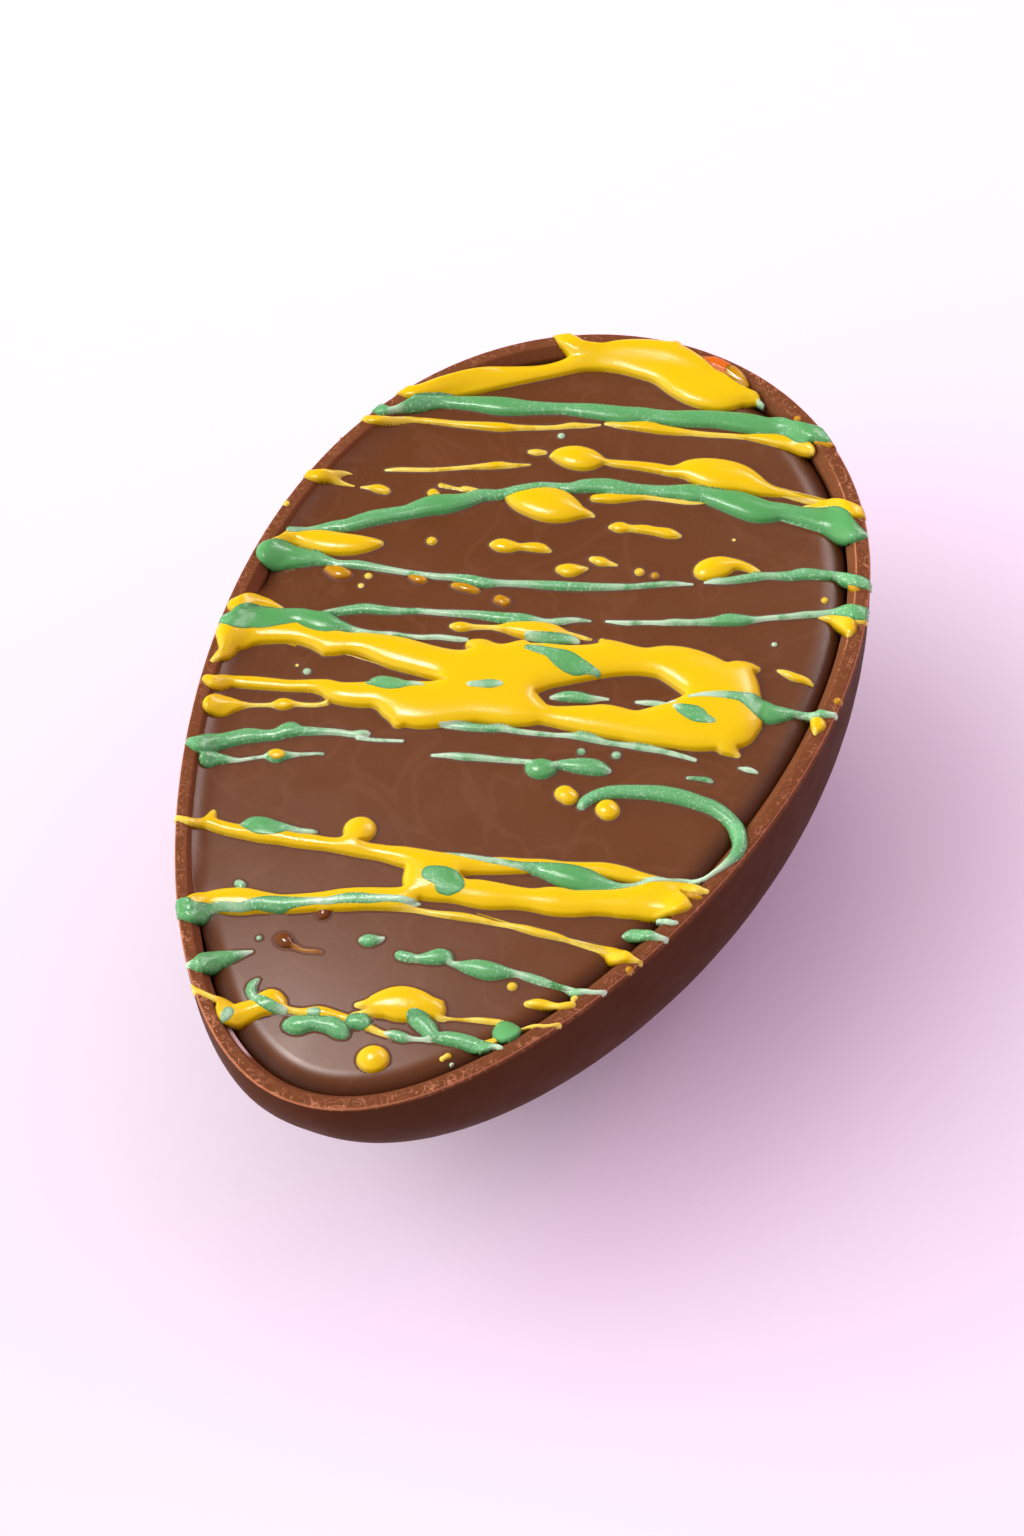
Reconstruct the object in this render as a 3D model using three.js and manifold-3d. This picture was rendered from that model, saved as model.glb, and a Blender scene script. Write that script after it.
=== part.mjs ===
// A filled half egg of milk chocolate, lying on its round back with the open face up.
// The thick moulded shell is one solid and the slab of chocolate that fills it is another.
// Thick strands of coloured chocolate are poured over both: each strand is fused to what it
// lies on, so it is cut where it crosses the groove between the slab and the shell.
// Millimetres, +Z up, +Y towards the blunt end. The origin is on the ground under the middle.

import * as THREE from 'three';
import { ParametricGeometry } from 'three/addons/geometries/ParametricGeometry.js';
import { mergeVertices } from 'three/addons/utils/BufferGeometryUtils.js';
import Module from 'manifold-3d';

const wasm = await Module();
wasm.setup();

// ---- driving dimensions ----

const halfLength = 80;          // half of the egg's length, along Y
const halfWidth = 49;           // half width at mid length
const taper = 0.2;              // how much wider the blunt half is than the pointed half
const depthRatio = 1.12;        // depth of the shell under its half width, station by station
const fullness = 2.45;          // power of the cross-section: 2 is a circle, more is squarer
const restingCut = 1.5;         // height of the flat spot worn on the round back

const edgeDrop = 0.35;          // the rim's outer corner lies this far under its crown
const rimWidth = 2;             // flat, crinkled band of the rim
const wallAtRim = 3.4;          // shell thickness where the smooth inner slope ends
const slopeDepth = 1.6;         // height of that slope
const cavityRatio = 1.077;      // depth of the cavity under its half width
const crinkle = 0.11;           // relief of the crinkled band

const slabGap = 0.35;           // groove between slab and shell, at its narrowest
const slabLevel = 1.5;          // the slab's flat top lies this far under the rim
const slabEdgeDrop = 1.9;       // fall of the slab's rounded edge
const slabEdgeWidth = 4.2;      // width of that rounded edge
const slabRatio = 1.05;         // depth of the slab under its half width

const pourHeight = 1.5;         // height that a wide pour comes near to
const pourSpread = 2.2;         // strand width at which a pour has two thirds of that height
const pourRoot = 3;             // how far a pour reaches into what it lies on
const bridgeStart = 6.5;        // a pour starts to climb to the rim this far inside the edge
const rimClear = 0.3;           // pours stop this far inside the outer edge
const grooveClear = 0.12;       // and this far short of the groove, on either side
const stationsPerSpan = 2;      // steps from one place of a strand to the next

const aroundCount = 100;        // steps around the egg
const outerSteps = [0, 0.08, 0.18, 0.29, 0.4, 0.51, 0.63, 0.76, 0.88, 1];   // rim to keel
const innerSteps = [0, 0.1, 0.27, 0.45, 0.63, 0.82, 1];

const bodyDepth = depthRatio * widest(0) + edgeDrop;
const rimHeight = bodyDepth - restingCut;

// ---- the egg's outline and walls ----

// Half width at the blunt side's widest station, for an outline shrunk by inset.
function widest(inset) {
  const angles = Array.from({ length: 91 }, (_, i) => THREE.MathUtils.degToRad(i));
  return Math.max(...angles.map((a) => outline(a, inset).x));
}

// A point on the outline, shrunk by inset; angle 0 is the blunt end and 90 degrees is +X.
function outline(angle, inset) {
  const x = (halfWidth - inset) * Math.sin(angle) * (1 + taper * Math.cos(angle));
  const y = (halfLength - inset) * Math.cos(angle);
  return new THREE.Vector2(x, y);
}

// A point on a curved wall below the outline: step 0 is its top edge and step 1 the keel.
function wall(angle, step, inset, top, ratio, target) {
  const edge = outline(angle, inset);
  const turn = step * Math.PI / 2;
  const across = Math.pow(Math.max(Math.cos(turn), 0), 2 / fullness);
  const down = Math.pow(Math.sin(turn), 2 / fullness);
  const side = step === 1 ? 0 : edge.x * across;
  return target.set(side, edge.y, rimHeight + top - ratio * Math.abs(edge.x) * down);
}

// A point on a ring of the rim or of the slab's top.
function ringPoint(angle, inset, height, target) {
  const edge = outline(angle, inset);
  return target.set(edge.x, edge.y, rimHeight + height);
}

// Height of the crinkled rim at one angle, different from ring to ring.
function crinkleAt(angle, ring) {
  const long = Math.sin(9 * angle + 2.1 * ring);
  const short = Math.sin(31 * angle + 4.7 * ring);
  return crinkle * (0.6 * long + 0.4 * short);
}

// How far inside the outer edge a place lies, found by halving.
function insetAt(x, y) {
  let low = 0;
  let high = halfWidth;
  for (let i = 0; i < 24; i += 1) {
    const middle = (low + high) / 2;
    const across = THREE.MathUtils.clamp(y / (halfLength - middle), -1, 1);
    const angle = Math.acos(across);
    const inside = Math.abs(x) < outline(angle, middle).x && Math.abs(y) < halfLength - middle;
    if (inside) low = middle;
    else high = middle;
  }
  return low;
}

// ---- closed meshes and solids ----

// The geometry with its shared corners merged and its collapsed triangles dropped.
function closed(geometry) {
  const plain = geometry.clone();
  plain.deleteAttribute('normal');
  plain.deleteAttribute('uv');
  const merged = mergeVertices(plain, 1e-4);
  const corners = Array.from(merged.index.array);
  const kept = [];
  for (let i = 0; i < corners.length; i += 3) {
    const [a, b, c] = corners.slice(i, i + 3);
    if (a !== b && b !== c && c !== a) kept.push(a, b, c);
  }
  merged.setIndex(kept);
  return merged;
}

function toSolid(geometry) {
  const merged = closed(geometry);
  const vertProperties = new Float32Array(merged.attributes.position.array);
  const triVerts = new Uint32Array(merged.index.array);
  return new wasm.Manifold(new wasm.Mesh({ numProp: 3, vertProperties, triVerts }));
}

function toGeometry(solid) {
  const mesh = solid.getMesh();
  const geometry = new THREE.BufferGeometry();
  geometry.setAttribute('position', new THREE.BufferAttribute(mesh.vertProperties, 3));
  geometry.setIndex(Array.from(mesh.triVerts));
  geometry.computeVertexNormals();
  return geometry;
}

function joinAll(solids) {
  return solids.reduce((whole, solid) => whole.add(solid));
}

// A body made of rings that run around the egg, given as functions of the angle.
function ringBody(rings) {
  const place = (u, v, target) => {
    const ring = rings[Math.round(v * (rings.length - 1))];
    ring(-u * Math.PI * 2, target);
  };
  return toSolid(new ParametricGeometry(place, aroundCount, rings.length - 1));
}

// ---- shell ----

function makeShell() {
  const outside = outerSteps.toReversed().map(
    (step) => (angle, target) => wall(angle, step, 0, -edgeDrop, depthRatio, target));
  const band = [0.25, 0.6, 1].map((share, ring) => (angle, target) =>
    ringPoint(angle, share * rimWidth, crinkleAt(angle, ring), target));
  const inside = innerSteps.map(
    (step) => (angle, target) => wall(angle, step, wallAtRim, -slopeDepth, cavityRatio, target));
  const bowl = ringBody([...outside, ...band, ...inside]);

  const ground = new THREE.BoxGeometry(4 * halfWidth, 4 * halfLength, 2 * restingCut);
  ground.translate(0, 0, -restingCut);
  return bowl.subtract(toSolid(ground));
}

// ---- slab that fills the shell ----

function makeSlab() {
  const inset = wallAtRim + slabGap;
  const foot = -slabLevel - slabEdgeDrop;
  const walls = innerSteps.toReversed().map((step) => (angle, target) => {
    wall(angle, step, inset, -slopeDepth, slabRatio, target);
    target.z = Math.min(target.z, rimHeight + foot);
  });
  const shoulder = [0.1, 0.3, 0.6, 1].map((share) => (angle, target) => {
    const rise = slabEdgeDrop * Math.sqrt(1 - (1 - share) ** 2);
    return ringPoint(angle, inset + share * slabEdgeWidth, foot + rise, target);
  });
  const spine = (angle, target) => {
    ringPoint(angle, inset + slabEdgeWidth, -slabLevel, target);
    target.x = 0;
  };
  return ringBody([...walls, ...shoulder, spine]);
}

// ---- poured strands ----

// Each strand runs through a few places [x, y, width]; a drop has one place only.
const yellowStrands = [
  [[-41, 54.2, 2.6], [-30, 60.8, 4.3], [-20, 67, 3], [-10, 73.8, 5.8], [-2, 75.3, 9], [6, 73, 9],
    [13, 73.3, 3]],
  [[-22.5, 74.2, 2.4], [-17, 73, 3.6], [-12, 73.4, 4.5]],
  [[-11.5, 50.6, 3], [-8, 51.2, 4.8], [-4, 52, 1.6], [8, 54.4, 2.8], [14, 55.6, 6.4], [20, 56, 4.6],
    [25, 55.8, 2]],
  [[33, 56, 1.8], [38, 56.1, 2.8]],
  [[-15.2, 39.5, 2.6], [-12, 40.2, 6.2], [-8, 40.2, 6.8], [-4.5, 40.3, 3.2]],
  [[20, 36.2, 3.6], [22, 37.8, 4], [25, 39.4, 1.8]],
  [[3.6, 39.8, 2.1], [12, 41.4, 2]],
  [[-45, 19, 2.6], [-37, 20.6, 4.6], [-32.5, 22.5, 2]],
  [[-47, -1.4, 5], [-36, 1.4, 4.4], [-25, 3, 4.8], [-12, 3.6, 6.4], [-4, 5, 10],
    [4, 9, 8.4], [12, 13.6, 6.6], [18, 15.5, 5.4], [24, 16.5, 8], [31, 14.8, 9], [35.5, 11.8, 7.6]],
  [[-43, -11.6, 2.4], [-33, -8.9, 2.2], [-25, -7.4, 4.2], [-18, -5.3, 6], [-12, -5, 9.2],
    [-4, -1.4, 8.8], [2, 0.2, 7.6], [8, 0.4, 4], [16, 2.2, 6.2], [24, 4, 7.4], [30, 7.2, 10.6], [35, 8.4, 8]],
  [[-5, 14.2, 2], [1, 15.6, 3.4]],
  [[-42, -16.4, 3.8], [-38.5, -15, 1.8]],
  [[-36, -38.4, 1.6], [-25, -36.8, 3.2], [-12, -34.5, 2.8], [-3, -33, 3.7],
    [4, -32, 4.2], [12, -29.2, 3.1], [20, -26.3, 2.4], [28, -24, 2.7], [37, -22.9, 1.6]],
  [[-11.3, -30.7, 4.8]],
  [[1, -34, 5.4], [5, -35.9, 5.6], [10, -35.4, 5], [18, -33.6, 4], [31, -29.4, 5], [37, -27.2, 6.8],
    [41, -25.9, 4.6]],
  [[-30.5, -53.2, 2.8], [-24, -50, 4.8], [-14, -46.7, 3.4], [-8, -43.7, 4.1], [0, -40.4, 3.6]],
  [[33, -38.1, 1.8], [35.5, -38.5, 2.8]],
  [[-15.5, -68.7, 4], [-12.5, -67, 3.6], [-9, -65.5, 1.8]],
  [[4, -59.5, 3], [8, -58, 6.2], [12, -57.2, 3.8]],
  [[7.8, -68.6, 4.7]],
  [[16.2, -13.1, 3.3]],
  [[23.2, -13.5, 3.6]],
];

const greenStrands = [
  [[-39, 52.5, 2], [-25, 57, 3.7], [-15, 60, 2.4], [-5, 62.4, 3.4], [15, 67.9, 4], [27, 69.2, 3]],
  [[-40, 23.6, 2.2], [-30, 30.6, 2.8], [-26, 33.8, 3.9], [-17, 39.3, 2], [-10, 44, 1.6], [-1, 47.2, 3],
    [8, 49.5, 2.5], [18, 51.1, 4.2], [23, 51, 5], [28, 52.2, 3.5], [35, 52.8, 4.8], [40, 52, 2.8]],
  [[-47.5, 15, 4], [-45, 15.1, 4.8], [-38, 16.8, 2]],
  [[-17, 20.7, 1.6], [-13.5, 21.2, 1.9], [0, 25.3, 1.7], [6, 27.3, 1.4]],
  [[32, 39.9, 1.6], [36, 41.5, 2.2], [44, 42.7, 2.2]],
  [[25.5, 27.2, 1.8], [29.5, 28.9, 2.2]],
  [[43.5, 36, 2.4], [46, 36.6, 3]],
  [[-32, 7.8, 1.6], [-25, 10.5, 1.6]],
  [[-47, 2, 4], [-41, 3.4, 4.6], [-33, 4.6, 3.6]],
  [[34, 13.4, 1.6], [39, 13, 3.8], [43, 14, 1.8]],
  [[2, -11, 1.2], [8.3, -9.5, 1.6], [10.5, -9.9, 3.8], [13, -8.2, 1.8], [18.5, -6.7, 3]],
  [[19.6, -13, 2], [25, -9.1, 2.4], [31, -7.3, 2.8], [38, -7.3, 2.6], [42.5, -9.2, 2.4],
    [44.2, -14, 1.8]],
  [[-29.6, -53.8, 3.6], [-28, -54, 3.2]],
  [[4.5, -50, 1.8], [9.5, -48.2, 2.7], [13, -48.4, 1.3], [17, -47.9, 3.2], [21, -47, 1.6],
    [27, -46.7, 1.4]],
  [[-41.5, -24.4, 2.8], [-35, -20.3, 2.8], [-29.5, -17, 2.8], [-24, -15.2, 1.3]],
  [[-29.4, -22.4, 2.8]],
  [[-24, -62.4, 2.2], [-22, -61.2, 3.4], [-18.5, -58.4, 1.3]],
  [[-5.5, -67.2, 3.2], [-3, -66.1, 2.3], [0.5, -65.7, 2.8]],
  [[11.8, -60, 2.6], [14, -61.2, 2.2], [21, -60.9, 2.4]],
  [[24.2, -57, 4]],
];

// Height of the middle of a strand's foot: level on the slab, and climbing to the rim.
function footHeight(x, y) {
  const climb = THREE.MathUtils.smoothstep(insetAt(x, y), rimWidth, bridgeStart);
  return -slabLevel * climb;
}

function domeHeight(width) {
  return pourHeight * (1 - Math.exp(-width / pourSpread));
}

// The stations of a strand: its places along a smooth curve, and a round nose at both ends.
function stationsOf(places) {
  const spots = places.map(([x, y, width]) => new THREE.Vector3(x, y, width));
  if (spots.length === 1) {
    const nudge = new THREE.Vector3(0.05 * spots[0].z, 0, 0);
    spots.unshift(spots[0].clone().sub(nudge));
    spots[1].add(nudge);
  }
  const curve = new THREE.CatmullRomCurve3(spots, false, 'centripetal');
  const smooth = curve.getPoints(stationsPerSpan * (spots.length - 1));
  const stations = smooth.map((spot) => ({ x: spot.x, y: spot.y, width: spot.z, share: 1 }));
  const start = nose(stations[0], stations[1]);
  const end = nose(stations.at(-1), stations.at(-2)).reverse();
  return [...start, ...stations, ...end];
}

// Two narrowing stations beyond the end of a strand, the tip first.
function nose(end, neighbour) {
  const away = new THREE.Vector2(end.x - neighbour.x, end.y - neighbour.y).normalize();
  return [[0.48, 0.35], [0.3, 0.8]].map(([reach, share]) => ({
    x: end.x + away.x * reach * end.width,
    y: end.y + away.y * reach * end.width,
    width: end.width,
    share,
  }));
}

// One strand as a closed tube: a dome above its foot, and straight sides down into the chocolate.
function makeStrand(places) {
  const stations = stationsOf(places);
  const dome = [0, 60, 120, 180].map((degrees) => THREE.MathUtils.degToRad(degrees));
  const sides = dome.length + 2;
  const place = (u, v, target) => {
    const last = stations.length + 1;
    const step = Math.round(v * last);
    const index = THREE.MathUtils.clamp(step - 1, 0, stations.length - 1);
    const station = stations[index];
    const before = stations[Math.max(index - 1, 0)];
    const after = stations[Math.min(index + 1, stations.length - 1)];
    const along = new THREE.Vector2(after.x - before.x, after.y - before.y).normalize();
    const corner = Math.round(u * sides) % sides;
    const half = station.width * station.share / 2;
    const foot = rimHeight + footHeight(station.x, station.y);
    const onDome = corner < dome.length;
    const across = onDome ? Math.cos(dome[corner]) : Math.sign(corner - dome.length - 0.5);
    const crown = domeHeight(station.width) * station.share;
    const up = onDome ? Math.sin(dome[corner]) * crown : -pourRoot;
    const isCap = step === 0 || step === last;
    const reach = isCap ? 0 : across * half;
    const rise = isCap ? -pourRoot / 2 : up;
    target.set(station.x - along.y * reach, station.y + along.x * reach, foot + rise);
  };
  return toSolid(new ParametricGeometry(place, sides, stations.length + 1));
}

// An upright block with the egg's outline, shrunk by inset.
function outlineBlock(inset) {
  const angles = Array.from({ length: aroundCount }, (_, i) => -i * 2 * Math.PI / aroundCount);
  const shape = new THREE.Shape(angles.map((angle) => outline(angle, inset)));
  const block = new THREE.ExtrudeGeometry(shape, { depth: 12, bevelEnabled: false });
  block.translate(0, 0, rimHeight - 8);
  return toSolid(block);
}

// ---- the object ----

const shellChocolate = new THREE.MeshStandardMaterial({ color: 0x6b3c2c, roughness: 0.42, metalness: 0 });
const slabChocolate = new THREE.MeshStandardMaterial({ color: 0x7a4a33, roughness: 0.4, metalness: 0 });

const pours = joinAll([...yellowStrands, ...greenStrands].map(makeStrand));
const onSlab = pours.intersect(outlineBlock(wallAtRim + slabGap + grooveClear));
const onRim = pours.intersect(outlineBlock(rimClear)).subtract(outlineBlock(wallAtRim - grooveClear));

const shell = new THREE.Mesh(toGeometry(makeShell().add(onRim)), shellChocolate);
shell.name = 'shell';

const filling = new THREE.Mesh(toGeometry(makeSlab().add(onSlab)), slabChocolate);
filling.name = 'filling';

const egg = new THREE.Group();
egg.add(shell, filling);

export default egg;
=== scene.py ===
# %% [markdown]
# # A filled half egg of milk chocolate
# A thick moulded shell lies on its round back. A slab of chocolate was poured into it and set
# a little under the rim, and two colours of melted chocolate were flicked across both from a
# spoon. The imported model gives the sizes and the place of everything. This lesson dresses it:
# it makes a fine shell with a rough cut rim, a slab with a soft edge, and pours whose shape
# comes from the way a thick liquid settles.

# %% The frame and its sizes
import math

import bmesh
import bpy
import numpy as np
from mathutils import Matrix, Vector, noise


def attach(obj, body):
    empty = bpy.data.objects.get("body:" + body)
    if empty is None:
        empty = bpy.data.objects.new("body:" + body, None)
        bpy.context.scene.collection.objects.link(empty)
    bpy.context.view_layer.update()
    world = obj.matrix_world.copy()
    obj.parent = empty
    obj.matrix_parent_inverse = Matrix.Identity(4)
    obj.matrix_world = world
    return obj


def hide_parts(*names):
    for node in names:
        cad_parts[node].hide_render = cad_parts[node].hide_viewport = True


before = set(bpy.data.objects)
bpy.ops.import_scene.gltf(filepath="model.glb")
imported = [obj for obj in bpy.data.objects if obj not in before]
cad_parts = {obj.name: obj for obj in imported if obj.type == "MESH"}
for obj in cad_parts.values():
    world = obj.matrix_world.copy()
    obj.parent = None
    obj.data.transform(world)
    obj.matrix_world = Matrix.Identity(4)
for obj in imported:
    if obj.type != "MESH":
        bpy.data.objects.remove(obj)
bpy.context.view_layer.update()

mm = 0.001

# The egg's outline, and how much wider it is towards the blunt end.
half_length, half_width, taper = 80.0, 49.0, 0.2
# Depth over width of the outside, the cavity and the slab, and how full their sections are.
depth_ratio, cavity_ratio, slab_ratio, fullness = 1.12, 1.077, 1.05, 2.45
# The rim: the rounding of its edge, its scraped band, the wall and the slope inside it.
edge_drop, rim_width, wall_at_rim, slope_depth = 0.35, 2.0, 3.4, 1.6
# The slab: how far it lies under the rim, its rounded edge and the groove around it.
slab_level, slab_edge_drop, slab_edge_width, slab_gap = 1.5, 1.9, 4.2, 0.35
# What the flat resting spot takes off the round back.
resting_cut = 1.5


def outline(angle, inset):
    """A point of the egg's outline, shrunk by inset, in mm. Angle 0 is the blunt end."""
    x = (half_width - inset) * np.sin(angle) * (1 + taper * np.cos(angle))
    return x, (half_length - inset) * np.cos(angle)


widest = max(outline(math.radians(degree), 0)[0] for degree in range(91))
rim_height = depth_ratio * widest + edge_drop - resting_cut
print("the rim lies at", round(rim_height, 2), "mm")

# %% [markdown]
# ## Camera
# A still of food is taken with a long lens from a fair distance, so that the egg keeps its
# true proportions. The camera is a little to the right of the pointed end and looks down
# steeply, and it is rolled a few degrees. It swings around a spot in the plane of the rim:
# first the turn about the upright axis, then the rise over the floor, then the roll.

# %% Camera
lens_length = 105.47
camera_aim = (6.5677, -11.6288, rim_height)
camera_distance = 701.05
camera_turn, camera_rise, camera_roll = 26.5677, 53.2502, -4.5620


def turned(degrees, axis):
    """A turn about one axis."""
    return Matrix.Rotation(math.radians(degrees), 4, axis)


camera_data = bpy.data.cameras.new("camera")
camera_data.lens = lens_length
camera_data.clip_start = 0.01
camera = bpy.data.objects.new("camera", camera_data)
bpy.context.collection.objects.link(camera)
swing = turned(camera_turn, "Z") @ turned(90 - camera_rise, "X") @ turned(camera_roll, "Z")
pull_back = Matrix.Translation((0, 0, camera_distance * mm))
camera.matrix_world = Matrix.Translation(Vector(camera_aim) * mm) @ swing @ pull_back
bpy.context.scene.camera = camera
print("camera at", [round(value, 3) for value in camera.location], "m")

# %% [markdown]
# ## Light and floor
# Satin chocolate shows mostly the shape of its lights. A wide box overhead gives soft light
# without a shine. A small window close above the left side draws the highlights on the pours
# and the haze on the near end of the slab, and a strip behind draws the sheen on its right
# shoulder. The room is pale lilac, brighter on the left and behind and darker in front on the
# right, and fills the shadows. It hardly shines, and a black flag hangs where the level slab
# would mirror it, so that the colours stay deep. The floor is a wide plain sheet.

# %% Light and floor
bpy.context.scene.view_settings.view_transform = "Standard"
bpy.context.scene.view_settings.look = "None"
lights_aim = Vector((0, 0, 0.04))


def soft_box(name, direction, distance, width, height, power, colour, gives):
    """An area light that looks at the egg and gives soft light or only a shine."""
    data = bpy.data.lights.new(name, "AREA")
    data.shape = "RECTANGLE"
    data.size, data.size_y = width, height
    data.energy = power
    data.color = colour
    light = bpy.data.objects.new(name, data)
    bpy.context.collection.objects.link(light)
    light.visible_glossy, light.visible_diffuse = gives == "shine", gives == "light"
    aim = Vector(direction).normalized()
    light.location = lights_aim + aim * distance
    light.rotation_euler = aim.to_track_quat("Z", "Y").to_euler()
    return light


# Name, direction, distance, width and height in m, power in W, colour, and what it gives.
soft_box("main box", (-0.25, 0.32, 0.92), 1.0, 0.7, 0.7, 1.8, (1.0, 1.0, 0.95), "light")
soft_box("window", (-0.325, 0.14, 0.935), 0.28, 0.035, 0.035, 0.28, (1.0, 0.98, 0.97), "shine")
soft_box("back strip", (0.13, 0.72, 0.68), 0.9, 0.45, 0.10, 2.0, (1.0, 0.95, 0.97), "shine")

world = bpy.data.worlds.new("soft room")
world.use_nodes = True
bpy.context.scene.world = world


def add(tree, kind, **settings):
    """A new node with its properties set."""
    made = tree.nodes.new(kind)
    for key, value in settings.items():
        setattr(made, key, value)
    return made


def dial(node, settings):
    """Sets sockets of a node by their names."""
    for socket, value in settings.items():
        node.inputs[socket].default_value = value


def ramp(tree, value, low, high, out_low=0.0, out_high=1.0):
    """Stretches a value from low..high to out_low..out_high and clamps it."""
    made = add(tree, "ShaderNodeMapRange", clamp=True)
    dial(made, {"From Min": low, "From Max": high, "To Min": out_low, "To Max": out_high})
    tree.links.new(value, made.inputs["Value"])
    return made.outputs["Result"]


def join(tree, operation, first, second):
    """Two values joined by a sum, a product or the like."""
    made = add(tree, "ShaderNodeMath", operation=operation)
    for socket, value in zip(made.inputs, (first, second)):
        if isinstance(value, (int, float)):
            socket.default_value = value
        else:
            tree.links.new(value, socket)
    return made.outputs[0]


def blend_colour(tree, share, first, second):
    """Mixes two colours, or a colour socket and a colour, by a share."""
    made = add(tree, "ShaderNodeMix", data_type="RGBA")
    tree.links.new(share, made.inputs[0])
    for socket, colour in ((6, first), (7, second)):
        if isinstance(colour, tuple):
            made.inputs[socket].default_value = (*colour, 1)
        else:
            tree.links.new(colour, made.inputs[socket])
    return made.outputs[2]


def along(tree, direction):
    """How much a ray of the room points along a direction, from -1 to 1."""
    place = add(tree, "ShaderNodeTexCoord")
    made = add(tree, "ShaderNodeVectorMath", operation="DOT_PRODUCT")
    made.inputs[1].default_value = Vector(direction).normalized()
    tree.links.new(place.outputs["Generated"], made.inputs[0])
    return made.outputs["Value"]


room = world.node_tree
plain_level, left_level, flag_share, dark_share, glow_share = 0.93, 4.8, 0.1, 0.2, 2.3
light_share, shine_share = 0.91, 0.17
to_left = along(room, (-0.95, -0.3, 0))
shiny = add(room, "ShaderNodeLightPath").outputs["Is Glossy Ray"]
strength = ramp(room, to_left, 0.2, 0.95, plain_level, left_level)
for share in (ramp(room, along(room, (-0.27, 0.53, 0.80)), 0.78, 0.94, 1.0, flag_share),
              ramp(room, along(room, (0.6, -0.8, 0)), 0.2, 0.9, 1.0, dark_share),
              ramp(room, along(room, (0.35, 0.94, 0)), 0.1, 0.9, 1.0, glow_share),
              ramp(room, shiny, 0, 1, light_share, shine_share)):
    strength = join(room, "MULTIPLY", strength, share)
room.links.new(strength, room.nodes["Background"].inputs["Strength"])
tint = blend_colour(room, ramp(room, to_left, -0.8, 0.6), (1.0, 0.60, 0.92), (1.0, 0.90, 1.0))
room.links.new(tint, room.nodes["Background"].inputs["Color"])


def material(name):
    """A new material, its nodes and its main shader."""
    made = bpy.data.materials.new(name)
    made.use_nodes = True
    return made, made.node_tree, made.node_tree.nodes["Principled BSDF"]


def piece(name, bm, finish):
    """Turns a bmesh into an object with smooth faces and one material."""
    for face in bm.faces:
        face.smooth = True
    mesh = bpy.data.meshes.new(name)
    bm.to_mesh(mesh)
    bm.free()
    mesh.materials.append(finish)
    made = bpy.data.objects.new(name, mesh)
    bpy.context.collection.objects.link(made)
    return made


floor_radius = 4.0
floor_finish, tree, shader = material("pale floor")
dial(shader, {"Base Color": (0.90, 0.86, 0.90, 1), "Roughness": 0.7, "Specular IOR Level": 0.2})
bm = bmesh.new()
bmesh.ops.create_circle(bm, cap_ends=True, segments=64, radius=floor_radius)
floor = piece("floor", bm, floor_finish)

# %% [markdown]
# ## A sheet of squares laid over rings
# Shell and slab are both made of rings that run around the egg, one inside the other. They
# aren't circles, so a spin can't make them. A flat grid from one operator gives the squares,
# each row of it is laid on one ring, and merging the doubles closes the seam, the two tips
# and the keel.

# %% Rings and noise
around = 1200
merge_distance = 1e-7
angles = np.linspace(0, 2 * math.pi, around + 1)


def curved_wall(step, inset, top, ratio):
    """One ring of a wall under the outline: step 0 is its top edge and step 1 the keel."""
    x, y = outline(angles, inset)
    across = max(math.cos(step * math.pi / 2), 0) ** (2 / fullness)
    down = math.sin(step * math.pi / 2) ** (2 / fullness)
    side = x * (across if step < 1 else 0)
    return np.stack([side, y, rim_height + top - ratio * np.abs(x) * down], axis=-1)


def level_ring(inset, height):
    """One ring of the rim or of the slab's edge, at its own height."""
    x, y = outline(angles, inset)
    return np.stack([x, y, rim_height + height + 0 * x], axis=-1)


def cloud(x, y, size, seed):
    """Smooth noise from -1 to 1 over the places x, y. Size is about the width of a cloud."""
    spots = zip(np.ravel(x) / size, np.ravel(y) / size)
    values = [noise.noise(Vector((across, along, seed))) for across, along in spots]
    return np.array(values).reshape(np.shape(x))


def grid_mesh(name, columns, rows):
    """A flat grid and, for each of its corners, the column and row it belongs to."""
    bm = bmesh.new()
    bmesh.ops.create_grid(bm, x_segments=columns - 1, y_segments=rows - 1, size=1.0)
    mesh = bpy.data.meshes.new(name)
    bm.to_mesh(mesh)
    bm.free()
    flat = np.empty(3 * len(mesh.vertices))
    mesh.vertices.foreach_get("co", flat)
    flat = flat.reshape(-1, 3)
    column = np.rint((flat[:, 0] + 1) / 2 * (columns - 1)).astype(int)
    row = np.rint((flat[:, 1] + 1) / 2 * (rows - 1)).astype(int)
    return mesh, column, row


def store(mesh, name, values):
    """Keeps one number per corner in the mesh, for its material to read."""
    layer = mesh.attributes.new(name, "FLOAT", "POINT")
    layer.data.foreach_set("value", np.asarray(values, dtype=np.float32))


def ring_sheet(name, rings, marks):
    """A closed bmesh over the rings, with the named marks kept per corner."""
    mesh, column, row = grid_mesh(name, around + 1, len(rings))
    places = np.stack(rings)[row, column] * mm
    mesh.vertices.foreach_set("co", places.ravel())
    for label, values in marks.items():
        store(mesh, label, np.stack(values)[row, column])
    bm = bmesh.new()
    bm.from_mesh(mesh)
    bpy.data.meshes.remove(mesh)
    bmesh.ops.remove_doubles(bm, verts=bm.verts, dist=merge_distance)
    bmesh.ops.recalc_face_normals(bm, faces=bm.faces)
    return bm


def bump(middle, width):
    """A smooth bump around one angle, in degrees."""
    away = (np.degrees(angles) - middle + 180) % 360 - 180
    return np.exp(-(away / width) ** 2)


def tally(bm):
    """Triangles in a bmesh and the number of its open edges."""
    triangles = sum(len(face.verts) - 2 for face in bm.faces)
    return triangles, sum(1 for edge in bm.edges if len(edge.link_faces) != 2)
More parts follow.
